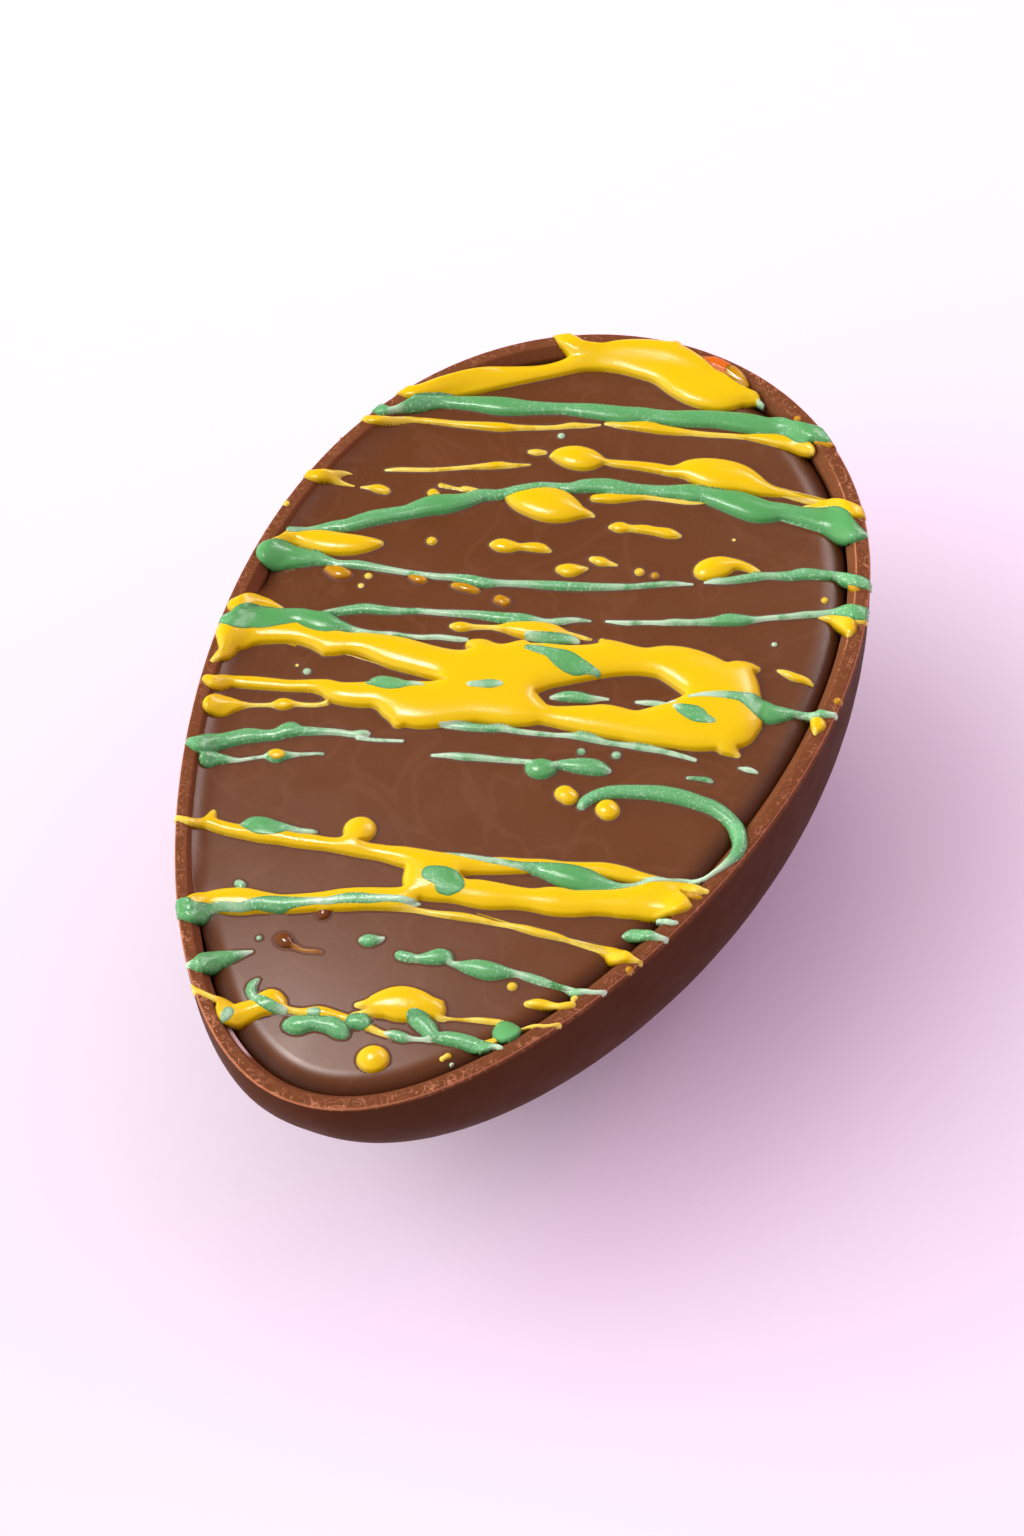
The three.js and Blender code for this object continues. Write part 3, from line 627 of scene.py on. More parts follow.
# %% Green pours, middle
green_middle = {
    "upper strand": [(-33.8, 6.8, 1), (-32, 7.9, 1.5), (-30, 9.1, 1.7), (-28, 10.1, 1.8), (-25, 10.8, 1.5),
        (-22, 11.8, 1.1), (-20, 12.6, 1), (-17, 13.4, 1), (-15, 14, 1.2), (-12, 14.9, 1.4),
        (-10, 15.4, 1.6), (-7, 16, 2), (-4, 16.9, 2), (-2, 17.4, 1.4), (0, 17.8, 1), (2, 18.6, 1.3),
        (4, 19.7, 0.9), (5.5, 20.2, 0.5), (6.5, 20.4, 0.2)],
    "dash under drop": [(-1.5, 13.8, 1), (1, 14.3, 1.6), (3, 15, 1.6), (5, 15.7, 1.4), (6.2, 15.8, 0.8)],
    "left patch": [(-48, -0.2, 2.4), (-46, 0.6, 4.2), (-43, 1.7, 4.8), (-40, 3.2, 4), (-37.5, 4.5, 3.4),
        (-35, 4.5, 4.2), (-33, 4.6, 4.2), (-31, 5, 2.6), (-28, 5.3, 1.2), (-25, 5.8, 0.9), (-22, 6.8, 0.8),
        (-20, 7.2, 0.7), (-17.5, 7.8, 0.8), (-15, 8.8, 0.9), (-12, 9.5, 0.9), (-10.5, 9.9, 0.6)],
    "patch low": [(-21.2, -3.9, 1.4), (-20, -3.2, 2.8), (-18.5, -3, 3.2), (-17, -2.6, 2.8),
        (-15.5, -2.1, 1.6), (-13.8, -1.7, 0.8), (-13.1, -1.7, 0.4)],
    "patch small": [(-6, 0.8, 0.8), (-4.5, 1.4, 1.2), (-3, 2, 1.5), (-1.8, 2.5, 1), (-1.3, 2.7, 0.4)],
    "patch upper": [(-0.3, 11.1, 1), (1.5, 11.3, 1.6), (3.5, 11.3, 2), (6, 10.8, 3.6), (8, 10.3, 3.4),
        (10, 10.5, 1.8), (12, 10.5, 0.7)],
    "leaf in eye": [(6.7, 4, 0.6), (8.5, 4.9, 1.8), (10.5, 5.5, 2), (12.5, 5.9, 1.4), (14, 6.5, 0.7),
        (15.1, 6.8, 0.3)],
    "pale in eye": [(19.6, 7.9, 0.4), (21.3, 8.4, 0.9), (23, 8.8, 1), (24.5, 9.2, 0.6), (25.5, 9.6, 0.2)],
    "patch right": [(26, 8.5, 0.8), (27.5, 8.2, 2), (29.5, 8, 2.8), (31, 7.7, 1.8), (32.5, 7.7, 0.8)],
    "right tail": [(27.3, 11, 0.3), (29, 11.9, 0.6), (31, 12.7, 1), (33, 13.3, 1.3), (35, 13.7, 1.7),
        (37, 13.7, 3), (39, 13.2, 3.8), (40.3, 13.1, 3.6), (42, 13.8, 2.5), (43.5, 14.5, 1.4),
        (45, 14.8, 1.1), (46.5, 15.2, 1.2), (47.3, 15.9, 1.5), (48.5, 16.3, 1.1), (49.4, 16.6, 0.7)],
    "string under band": [(-7.5, -7.5, 0.3), (-5, -6.6, 1.1), (-3, -6, 1.4), (0, -5.1, 1.3), (2, -4.4, 1.1),
        (5, -3.9, 0.9), (8, -3.2, 0.8), (10.2, -2.6, 0.7), (12, -2, 0.9), (13.9, -1.5, 1.3),
        (16, -1.3, 1.2), (18.3, -1.1, 0.9), (20.9, -0.6, 0.9), (23.8, -0.1, 1.1), (26.8, 0.4, 0.9),
        (29.8, 0.6, 0.8), (32.3, 0.6, 0.5)],
    "dash right": [(39.4, 1.6, 0.3), (40.8, 1.8, 0.9), (42.2, 1.8, 0.4)],
    "dash right two": [(32.6, -3, 0.4), (34, -2.6, 0.6), (35.5, -2.3, 0.8), (36.3, -2.4, 0.4)],
    "long low green": [(-6.4, -13.2, 0.4), (-4, -12.3, 0.9), (-2, -11.8, 1.3), (0, -11.2, 1.2),
        (3, -10.4, 1), (6, -9.6, 0.9), (8.3, -9.1, 1), (9.6, -9.8, 3), (10.5, -9.6, 3.8), (11.4, -9.2, 3),
        (12.2, -8.3, 1.4), (13.5, -7.6, 1.8), (16, -6.9, 2.8), (18, -6.4, 3), (19.4, -6.3, 2.2),
        (20.5, -6.2, 0.8)],
    "hook": [(19.2, -14, 1.3), (19.4, -13, 1.9), (20.3, -11.6, 2), (21.5, -10.5, 2.2), (23, -9.6, 2.3),
        (25, -8.8, 2.4), (28, -7.8, 2.6), (30, -7.3, 2.8), (33, -6.9, 2.8), (36, -6.9, 2.6), (38, -7, 2.6),
        (40, -7.5, 2.5), (42, -8.5, 2.4), (43.5, -10, 2.3), (44.6, -12, 2.2), (44.7, -14, 1.8),
        (44, -16, 1.2), (43.1, -18, 0.8), (42, -20, 0.7), (40.8, -21.1, 0.9), (39, -21.8, 1.1),
        (37, -22.5, 1.1), (35, -23.6, 0.9), (32.5, -25.2, 1.1), (30, -26.3, 1.7), (27, -26.8, 3),
        (24.5, -27.1, 4), (22, -27.3, 3.9), (19, -27.5, 2.6), (16.4, -27.9, 1.5), (14, -28.4, 1),
        (10, -29, 1.1), (7, -29.4, 1), (3.5, -29.9, 0.5)],
    "left wave": [(-43, -24.3, 1.6), (-41.6, -24.2, 2.8), (-40, -23.6, 3.2), (-38, -22.1, 2.8),
        (-36, -20.6, 2.8), (-34.8, -19.9, 2.7), (-32.5, -19, 2), (-31, -18.2, 2.2), (-30, -17, 2.6),
        (-29.2, -16.5, 2.8), (-28, -16.3, 1.8), (-26, -15.6, 1.5), (-24, -14.9, 1.2), (-22, -14.3, 1.1),
        (-20, -13.9, 1), (-18.3, -13.1, 1.2), (-17.6, -12.9, 0.6)],
    "hair": [(-18.7, -14.3, 0.4), (-16, -13.6, 0.5), (-12, -12.3, 0.4)],
    "left small": [(-39, -26.7, 2.5), (-37.5, -25.9, 2), (-36, -25.4, 1.2), (-34.5, -24.9, 0.6),
        (-33, -24, 0.5), (-31, -22.8, 0.6), (-29.9, -22.2, 2.2), (-29.2, -22, 2.5), (-28.4, -21.6, 1.7),
        (-26.5, -20.7, 0.7), (-25, -20, 0.45), (-23.5, -19.3, 0.35), (-22.7, -19.1, 0.4)],
    **specks((35.7, 26.4, 0.7), (15.1, -4.2, 1.1), (20.5, -2.9, 1.3), (-31.8, -5, 1.1)),
}
print(len(green_middle), "green pours")

# %% Green pours, pointed end
green_pointed = {
    "patch bridge": [(2.8, -35, 2.6), (4.5, -34.8, 3.4), (6, -35.1, 4), (7, -35.4, 3)],
    "patch bridge low": [(5.5, -36.6, 2), (6.5, -36.6, 1.8)],
    "low band leaf": [(-28.5, -36.2, 1), (-27, -35.6, 3), (-25.5, -35.4, 3.6), (-23.5, -35, 2.8),
        (-22, -34.4, 1.7), (-20, -34, 1), (-18, -33.4, 0.7), (-17.3, -33.3, 0.3)],
    "arm bead": [(-30.6, -53.4, 3), (-29.5, -53.8, 3.4), (-28, -53.8, 3.2), (-26.5, -52.9, 1.5),
        (-25, -51.8, 1.3), (-22, -50.8, 1.3), (-20, -49.4, 1.8), (-18, -48.5, 2.4), (-16.5, -48, 2.5),
        (-15, -47.2, 1.8), (-12, -45.8, 1.1), (-10, -45, 1.1), (-8, -43.8, 1.5), (-6, -42.9, 1.7),
        (-4, -42.3, 1.4), (-2, -41.5, 1.1), (0, -40.9, 1), (2, -40.5, 0.9), (3, -40, 0.4)],
    "small bead": [(-24.5, -46.4, 1.3), (-24, -46.6, 1.4)],
    "green caterpillar": [(4.2, -49.7, 1.7), (5.5, -49.6, 1.7), (7, -49.3, 1.4), (8.5, -48.6, 2.2),
        (9.8, -47.8, 2.8), (10.8, -47.5, 2), (11.8, -48.2, 0.9), (13, -48.2, 1.2), (14.5, -48, 2.2),
        (16, -47.7, 3), (18, -47.5, 3.2), (20, -47, 2.1), (22, -46.5, 1.1), (24, -46.4, 1.4),
        (26, -46.4, 1.4), (28, -46.4, 1), (30, -46.3, 0.8), (31.5, -46.4, 1.4), (33, -45.7, 0.8),
        (35, -44.8, 0.5), (35.5, -44.5, 0.3)],
    "tear": [(-2.3, -49.2, 1.2), (-1.4, -48.9, 2.2), (0, -48.2, 1), (0.4, -47.7, 0.4)],
    "leaf": [(-25.3, -62.7, 0.6), (-24, -62.2, 2.2), (-22.8, -61.6, 3.4), (-21.5, -60.6, 3.2),
        (-20, -59.4, 2.2), (-18.7, -58.3, 1.3), (-17.3, -57.2, 0.3)],
    "crescent": [(-14.3, -61.6, 0.6), (-14.6, -62.8, 1.4), (-14.2, -64, 1.6), (-13.2, -64.9, 1.3),
        (-11.5, -65.4, 1.7), (-9.8, -65.6, 1.6), (-8, -65.4, 0.8)],
    "bean": [(-6.2, -67.3, 2.4), (-5.2, -66.9, 3.3), (-3.8, -66.2, 2.4), (-2.5, -65.7, 2.2),
        (-0.5, -65.2, 2.8), (1, -65.5, 2.8), (2, -65.9, 1.6)],
    "cluster patch": [(-15.7, -69.8, 1.3), (-15.5, -68.9, 1.4)],
    "cluster spot": [(-4.2, -64.1, 1), (-3.5, -63.9, 1.3)],
    "cluster bead": [(2.6, -63.2, 2.4), (3.7, -62.9, 2.6)],
    "drop row": [(8, -63.5, 0.6), (9, -63.2, 1.5), (10.5, -63.2, 1.7), (11.5, -63, 0.9), (13, -62.6, 0.6),
        (14.5, -62.2, 0.6)],
    "low green": [(10.8, -59.5, 2.2), (12.3, -59.9, 2.9), (13.6, -60.5, 2.6), (14.6, -61.2, 1.8),
        (15.5, -61.3, 1.8), (17, -60.9, 2.4), (19, -60.6, 2.5), (21, -60.6, 2.5), (22.5, -60.6, 2),
        (24, -59.8, 1), (25, -59.6, 0.5)],
    "rim ball": [(24.6, -56.9, 4), (24.9, -56.9, 4)],
    "right fleck": [(34.6, -34.2, 0.7), (35.6, -33.7, 2), (37, -33.2, 2.3), (38.2, -32.8, 1.6),
        (39.4, -32.5, 1), (40.7, -32.3, 0.4)],
    "right fleck two": [(38.3, -29.8, 0.6), (39.8, -29.4, 0.9), (40.9, -29, 0.5)],
    **specks((-17.3, -54.5, 0.7), (19.2, -64.9, 0.5)),
}
print(len(green_pointed), "green pours")

# %% Small spots of glaze
amber = {
    "oval a": [(-37.2, 15.3, 1.4), (-35.5, 15.2, 2.6), (-34, 15.4, 1.8)],
    "oval b": [(-23.9, 18.7, 1.2), (-22.8, 18.6, 1.8), (-21.9, 18.7, 1.3)],
    "oval c": [(-16.8, 19.5, 1), (-15, 19.6, 1.7), (-13, 19.7, 1.2)],
    "oval d": [(-8.8, 19.3, 1.9), (-7.8, 19.2, 2)],
    "corner": [(40.7, -23.9, 0.8), (41.8, -23.6, 0.9), (42.7, -23.3, 0.4)],
    "under green rim": [(42.6, 41.7, 0.4), (43.4, 41.6, 0.8), (44.2, 41.5, 0.4)],
    "rim flap": [(8.4, 77.6, 2.4), (9.9, 76.9, 2.2), (11.7, 75.8, 0.9)],
    "under green line": [(27, 68.4, 1), (30, 68.4, 1)],
    "right rim glaze": [(37.4, -39.5, 1)],
    **specks((12.7, 32.8, 1.2), (48.9, 19.3, 1.2), (22.3, 71.8, 1.2)),
}
red = {
    "rim pool": [(3.3, 78.7, 1), (5.1, 78.5, 2.2), (7, 78, 2.4)],
}
beads = {
    "on left small": [(-29.9, -22.1, 1.3), (-29.3, -21.9, 2), (-28.7, -21.7, 1.3)],
}
brown = {
    "brown spot": [(-13.8, -53.5, 2.6), (-13.2, -53.7, 2.4)],
    "brown tail": [(-12, -54, 0.8), (-10, -54.1, 0.6), (-8.2, -53.6, 0.6), (-7.4, -53.5, 0.4)],
    "brown drop": [(-10.1, -46.2, 2.2), (-10, -47, 2)],
}
print(len(amber), "amber,", len(red), "red and", len(brown), "brown spots, and", len(beads), "bead")

# %% [markdown]
# ## How a pour settles
# Each pour is a list of places (x, y, width) along the path of the spoon. Three steps make
# it a body. First a field says how deep inside the nearest pour a spot lies, in mm; pours of
# one colour melt together where they meet. Second, the surface is lifted like a film blown
# up by an even pressure, held down at the edge and pulled flat by its own weight: that is
# one small equation on a grid, and it gives thin strings a low back and pools a broad one.
# Third, the edge meets the chocolate at a steep, even angle, as a drop does. A thick pour
# also bridges the step from the slab to the rim, while a thin string follows it. The places
# were measured in the plane of the slab, so those that stand higher, on the rim, are moved a
# little before they are used.

# %% Fields of the pours
# The map: its cell and its half width and half length, in mm.
cell, map_half_width, map_half_length = 0.17, 51.6, 82.0
# How far a pour is felt, how softly two melt together, what is added to every radius, and the
# least width of a pour.
reach, melt, swell, thinnest = 1.0, 0.22, 0.08, 0.24
# The shift of every place, and the further shift of a place for each mm that it stands higher.
pour_shift, climb_shift = (-0.12, 0.35), (0.335, -0.667)
# The inset where the ground starts to rise to the rim, and its slope beyond the egg's edge.
ground_start, fall_beyond = 5.4, 1.3
# The step along a path, and a depth that stands for far outside.
path_step, far_out = 0.2, -9.0
columns_x = np.arange(-map_half_width, map_half_width + 0.01, cell)
rows_y = np.arange(-map_half_length, map_half_length + 0.01, cell)
map_x, map_y = np.meshgrid(columns_x, rows_y)


def inset_at(x, y):
    """How far inside the egg's outline a spot lies, found by halving."""
    low, high = np.full(np.shape(x), -3.0), np.full(np.shape(x), half_width - 0.5)
    for _ in range(20):
        middle = (low + high) / 2
        angle = np.arccos(np.clip(y / (half_length - middle), -1, 1))
        width = (half_width - middle) * np.sin(angle) * (1 + taper * np.cos(angle))
        inside = (np.abs(x) < width) & (np.abs(y) < half_length - middle)
        low, high = np.where(inside, middle, low), np.where(inside, high, middle)
    return low


def ease(start, end, value):
    """Smooth change from 0 at start to 1 at end."""
    share = np.clip((value - start) / (end - start), 0, 1)
    return share * share * (3 - 2 * share)


def foot_at(inset):
    """The level that pours stand on: the slab, a bridge over the groove, then the rim."""
    return -slab_level * ease(rim_width, ground_start, inset) + fall_beyond * np.minimum(inset, 0)


def follow(places):
    """A smooth path through the places of a pour, with a spot at every step."""
    given = np.array(places, float)
    if len(given) == 1:
        return given
    padded = np.concatenate([given[:1], given, given[-1:]])
    spots = []
    for a, b, c, d in zip(padded, padded[1:], padded[2:], padded[3:]):
        count = max(2, int(np.hypot(*(c - b)[:2]) / path_step))
        t = np.linspace(0, 1, count, endpoint=False)[:, None]
        spots.append(0.5 * (2 * b + (c - a) * t + (2 * a - 5 * b + 4 * c - d) * t ** 2
                            + (3 * b - a - 3 * c + d) * t ** 3))
    return np.concatenate(spots + [given[-1:]])


def within(scale, low, high):
    """The part of a rising scale that lies between two values."""
    return slice(*np.searchsorted(scale, (low, high)))


def pour_field(pours):
    """Depth inside the pours at every spot of the map, and the width of the nearest one."""
    total = np.zeros(map_x.shape)
    width_sum = np.zeros(map_x.shape)
    for places in pours:
        path = follow(places)
        path[:, :2] += pour_shift
        climb = foot_at(inset_at(path[:, 0], path[:, 1])) + slab_level
        path[:, :2] += np.clip(climb, 0, slab_level)[:, None] * np.array(climb_shift)
        radii = np.maximum(path[:, 2], thinnest) / 2 + swell
        margin = radii.max() + reach
        rows = within(rows_y, path[:, 1].min() - margin, path[:, 1].max() + margin)
        columns = within(columns_x, path[:, 0].min() - margin, path[:, 0].max() + margin)
        near_x, near_y = columns_x[columns], rows_y[rows]
        depth = np.full((len(near_y), len(near_x)), far_out)
        width = np.zeros(depth.shape)
        for (x, y, _), radius in zip(path, radii):
            span = radius + reach
            beside = within(near_y, y - span, y + span), within(near_x, x - span, x + span)
            away = np.hypot(near_x[beside[1]][None, :] - x, near_y[beside[0]][:, None] - y)
            inside = radius - away
            better = inside > depth[beside]
            depth[beside][better] = inside[better]
            width[beside][better] = 2 * radius
        weight = np.where(depth > -reach, np.exp(depth / melt), 0)
        total[rows, columns] += weight
        width_sum[rows, columns] += weight * width
    depth = melt * np.log(np.maximum(total, math.exp(-reach / melt)))
    return np.minimum(depth, edge_room), width_sum / np.maximum(total, 1e-9)


overhang = 0.15
map_inset = inset_at(map_x, map_y)
map_foot = foot_at(map_inset) + unevenness(map_x, map_y) * ease(4.0, 7.5, map_inset)
edge_room = map_inset + overhang


def blurred(field, width):
    """A field smoothed over a width in mm: every spot takes the mean of its neighbours."""
    for _ in range(int((width / cell) ** 2)):
        beside = np.roll(field, 1, 0) + np.roll(field, -1, 0)
        field = (beside + np.roll(field, 1, 1) + np.roll(field, -1, 1)) / 4
    return field


all_pours = {"yellow": (yellow_blunt, yellow_middle, yellow_pointed),
             "green": (green_blunt, green_middle, green_pointed),
             "glaze": (amber, red, beads, brown)}
depths, widths = {}, {}
for colour, groups in all_pours.items():
    depths[colour], widths[colour] = pour_field([pour for group in groups for pour in group.values()])
    print(colour, "covers", round(float((depths[colour] > 0).sum()) * cell ** 2), "square mm")

# %% [markdown]
# ## From field to height
# The film equation is solved by letting every spot take the mean of its four neighbours plus
# a little pressure, a few hundred times. A spot whose neighbour lies outside counts the
# exact distance to the edge, so the shore stays smooth on a square grid.

# %% Heights of the pours
# Over this length the weight of a pour flattens it.
weight_length = 3.0
# The film's lift becomes height by this factor.
rise_factor = 0.66
# The steepness at the edge, the greater one further in, and how softly they meet the back.
shore_slope, inner_slope, inner_start, shore_blend = 2.6, 9, 0.3, 0.07
# The thin lip around pours on the open slab: its height and how fast it runs out.
lip_height, lip_length = 0.09, 0.14


def film(depth, rounds=560):
    """Half the square of the lift of a film over the pours, from an even pressure."""
    inside = depth > 0
    pull = np.full(depth.shape, 4 + (cell / weight_length) ** 2)
    for axis, way in ((0, 1), (0, -1), (1, 1), (1, -1)):
        beyond = np.roll(depth, way, axis)
        share = np.clip(depth / np.maximum(depth - beyond, 1e-9), 0.15, 1)
        pull += np.where(beyond <= 0, (1 - share) / share, 0)
    weight = np.where(inside, 1 / pull, 0).astype(np.float32)
    lift = np.zeros(depth.shape, np.float32)
    pressure = np.float32(cell ** 2)
    for _ in range(rounds):
        around_sum = np.zeros_like(lift)
        around_sum[1:-1, 1:-1] = (lift[:-2, 1:-1] + lift[2:, 1:-1]
                                  + lift[1:-1, :-2] + lift[1:-1, 2:])
        lift = weight * (around_sum + pressure)
    return lift


def crown(depth):
    """Height of the pours over their foot, negative outside them."""
    back = rise_factor * np.sqrt(2 * film(depth))
    shore = shore_slope * depth + inner_slope * np.maximum(depth - inner_start, 0)
    soft = -shore_blend * np.logaddexp(-back / shore_blend, -shore / shore_blend)
    return np.where(depth > 0, soft, shore)


bridge_width = 1.6
deepest = np.maximum.reduce(list(depths.values()))
map_foot = map_foot + (blurred(map_foot, bridge_width) - map_foot) * ease(0.25, 1.8, deepest)
crowns = {colour: crown(depth) for colour, depth in depths.items()}
print("highest pool", round(float(crowns["yellow"].max()), 2), "mm, highest strand",
      round(float(crowns["green"].max()), 2), "mm")

# %% [markdown]
# ## The bodies of the pours
# Each colour becomes a few bodies, so that none has too many faces. A body starts as a flat
# grid over its zone. Its corners take the joined height inside the body's own pours and dive
# steeply outside them, and those nearest the edge are moved onto it, which keeps the shore
# crisp. Faces well past the edge are deleted, and an extrude down into the slab closes the
# body. Green lies a hair over yellow where both are present. On the open slab a thin lip runs
# out around each pour. Over the groove a body ends right at its edge.

# %% Pour bodies
# How deep a body reaches into the chocolate, how much deeper by the groove, and how thin it
# may get.
sink, groove_sink, least_height = 0.5, 0.35, 0.1
# How softly two colours join, and the level that stands for no colour.
join_blend, no_colour = 0.12, -0.3
# How far a body runs on past its edge, how much further on the open slab, and the share of
# its height at which a lip ends.
past_edge, past_edge_on_slab, lip_end = 0.22, 0.3, 0.06
# How near the edge a corner is moved onto it, in cells, and the least slope counted there.
snap_reach, least_slope = 0.52, 0.6

groove_zone = ease(8.0, 5.4, map_inset) * ease(2.0, 3.4, map_inset)
map_floor = map_foot - sink - groove_sink * groove_zone
open_slab = ease(7.4, 8.6, map_inset)
over_groove = ease(6.8, 5.6, map_inset) * ease(2.2, 2.8, map_inset)


def fill_corners(wet):
    """Fills spots until no two faces touch at a corner only."""
    face = wet[:-1, :-1] & wet[1:, :-1] & wet[:-1, 1:] & wet[1:, 1:]
    near, far = face[:-1, :-1] & face[1:, 1:], face[:-1, 1:] & face[1:, :-1]
    none = ~(face[:-1, :-1] | face[1:, 1:]), ~(face[:-1, 1:] | face[1:, :-1])
    for row, column in zip(*np.where((near & none[1]) | (far & none[0]))):
        wet[row:row + 3, column:column + 3] = True
    return wet


def snap_to_edge(depth):
    """Map places, with those nearest the edge of a pour moved onto it."""
    rise_y, rise_x = np.gradient(depth, cell)
    steep = np.maximum(np.hypot(rise_x, rise_y), least_slope)
    near = np.abs(depth) < snap_reach * cell * steep
    step = np.where(near, -depth / steep ** 2, 0)
    return map_x + step * rise_x, map_y + step * rise_y, near


def pour_body(name, pours, colour, over, finish):
    """One closed body over some of a colour's pours, lifted by over, in mm."""
    depth = np.minimum(pour_field(pours.values())[0], depths[colour])
    edge_x, edge_y, near = snap_to_edge(depth)
    depth = np.where(near, 0, depth)
    others = np.maximum.reduce([depths[other] for other in depths if other != colour])
    heights = [crowns[other] for other in crowns if other != colour]
    heights += [np.where(near, 0, crowns[colour]), np.full(depth.shape, no_colour)]
    joined = join_blend * np.log(np.exp(np.stack(heights) / join_blend).sum(axis=0)) + over
    bare = open_slab * ease(-0.3, -0.6, others)
    lip = lip_height * (np.exp(depth / lip_length) - lip_end) * bare
    flank = np.maximum(joined + shore_slope * depth, np.where(bare > 0, lip, far_out))
    top = map_foot + np.where(depth >= 0, joined, flank)
    margin = past_edge * (1 - over_groove) + past_edge_on_slab * bare
    wet = fill_corners(depth + margin > -1e-6)
    rows, columns = np.where(wet)
    zone = slice(rows.min() - 1, rows.max() + 2), slice(columns.min() - 1, columns.max() + 2)
    wet, top, floor_here = wet[zone], top[zone], map_floor[zone]
    mesh, column, row = grid_mesh(name, wet.shape[1], wet.shape[0])
    height = np.maximum(top, floor_here + least_height)
    places = np.stack([edge_x[zone], edge_y[zone], rim_height + height], axis=-1)[row, column]
    mesh.vertices.foreach_set("co", (places * mm).ravel())
    for label, values in {"inside": depth + ease(7.4, 5.8, map_inset), "deep": depth,
                          "alone": ease(0.1, -0.3, others),
                          "thin": 1 - ease(0.75, 1.95, widths[colour]),
                          "small": 1 - ease(1.6, 4.6, widths[colour])}.items():
        store(mesh, label, values[zone][row, column])
    store(mesh, "wet", wet[row, column])
    store(mesh, "bottom", (rim_height + floor_here[row, column]) * mm)
    bm = bmesh.new()
    bm.from_mesh(mesh)
    bpy.data.meshes.remove(mesh)
    is_wet, bottom = bm.verts.layers.float["wet"], bm.verts.layers.float["bottom"]
    dry = [face for face in bm.faces if not all(vert[is_wet] for vert in face.verts)]
    bmesh.ops.delete(bm, geom=dry, context="FACES")
    rim_edges = [edge for edge in bm.edges if len(edge.link_faces) == 1]
    lowered = bmesh.ops.extrude_edge_only(bm, edges=rim_edges)["geom"]
    for vert in (part for part in lowered if isinstance(part, bmesh.types.BMVert)):
        vert.co.z = vert[bottom]
    under = [edge for edge in lowered if isinstance(edge, bmesh.types.BMEdge)
             and len(edge.link_faces) == 1]
    bmesh.ops.triangle_fill(bm, edges=under, normal=(0, 0, -1))
    bmesh.ops.recalc_face_normals(bm, faces=bm.faces)
    print(name, "triangles and open edges", tally(bm))
    made = piece(name, bm, finish)
    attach(made, "root")
    return made

# %% [markdown]
# ## Finish of the chocolate
# Moulded chocolate is satin, with a faint cloudiness where the cocoa butter set unevenly.
# The shell and the slab share one recipe: two browns mixed by slow noise, and a very fine
# bump that breaks up the highlight. The shell adds the orange brown of broken chocolate where
# the rings marked it, a painted highlight line on the rim's edges and a painted glint on the
# ledge. The slab adds a few paler swirls and painted shade that darkens its edge.

# %% Recipe for chocolate
def noise_of(tree, size, detail=3.0, roughness=0.5, distortion=0.0):
    """Noise on the object's own coordinates, with clouds about size mm wide."""
    place = add(tree, "ShaderNodeTexCoord")
    made = add(tree, "ShaderNodeTexNoise")
    dial(made, {"Scale": 1 / (size * mm), "Detail": detail, "Roughness": roughness,
                "Distortion": distortion})
    tree.links.new(place.outputs["Object"], made.inputs["Vector"])
    return made.outputs["Fac"]


def mark(tree, name):
    """A number that the mesh keeps per corner."""
    return add(tree, "ShaderNodeAttribute", attribute_name=name).outputs["Fac"]


def bump_by(tree, shader, value, height):
    """Relief from a value, height in mm."""
    made = add(tree, "ShaderNodeBump")
    dial(made, {"Distance": height * mm})
    tree.links.new(value, made.inputs["Height"])
    tree.links.new(made.outputs["Normal"], shader.inputs["Normal"])


def chocolate(name, dark, light, smoothest, roughest, gloss):
    """Satin milk chocolate: its nodes, and its colour and roughness so far."""
    made, tree, shader = material(name)
    clouds = ramp(tree, noise_of(tree, 14.0, 4.0, 0.55, 0.8), 0.35, 0.68)
    colour = blend_colour(tree, clouds, dark, light)
    rough = ramp(tree, noise_of(tree, 6.0, 5.0), 0.35, 0.65, smoothest, roughest)
    bump_by(tree, shader, noise_of(tree, 1.2, 2.0), 0.004)
    dial(shader, {"IOR": 1.45, "Specular IOR Level": gloss})
    return made, tree, shader, colour, rough


def contour(tree, size, width, distortion):
    """Thin wavy lines and loops: the places where noise crosses its middle value."""
    waves = noise_of(tree, size, 2.0, 0.5, distortion)
    away = join(tree, "ABSOLUTE", join(tree, "SUBTRACT", waves, 0.5), 0)
    return ramp(tree, away, width, 0.3 * width)


def connect(tree, shader, colour, rough):
    """Links the finished colour and roughness to the shader."""
    tree.links.new(colour, shader.inputs["Base Color"])
    tree.links.new(rough, shader.inputs["Roughness"])


# %% Shell material
shell_dark, shell_light = (0.067, 0.0202, 0.0050), (0.073, 0.0223, 0.0060)
band_colour, curl_colour = (0.165, 0.060, 0.020), (0.52, 0.235, 0.11)
# The line colour is a painted highlight on the rim's edges, the ledge colour a painted glint.
painted_edge_highlight, painted_glint_colour, ledge_polish = (0.46, 0.185, 0.08), (0.62, 0.47, 0.42), 0.36

shell_finish, tree, shader, colour, rough = chocolate(
    "shell chocolate", shell_dark, shell_light, 0.46, 0.54, 0.025)
colour = blend_colour(tree, mark(tree, "scraped"), colour, band_colour)
patches = ramp(tree, noise_of(tree, 4.5, 1.0), 0.34, 0.46)
curls = join(tree, "MULTIPLY", contour(tree, 2.8, 0.025, 1.8), patches)
crumbs = ramp(tree, noise_of(tree, 0.55, 1.0), 0.66, 0.72)
rough_spots = join(tree, "MULTIPLY", join(tree, "MAXIMUM", curls, crumbs), mark(tree, "scuff_and_glint"))
colour = blend_colour(tree, join(tree, "MINIMUM", rough_spots, 1.0), colour, curl_colour)
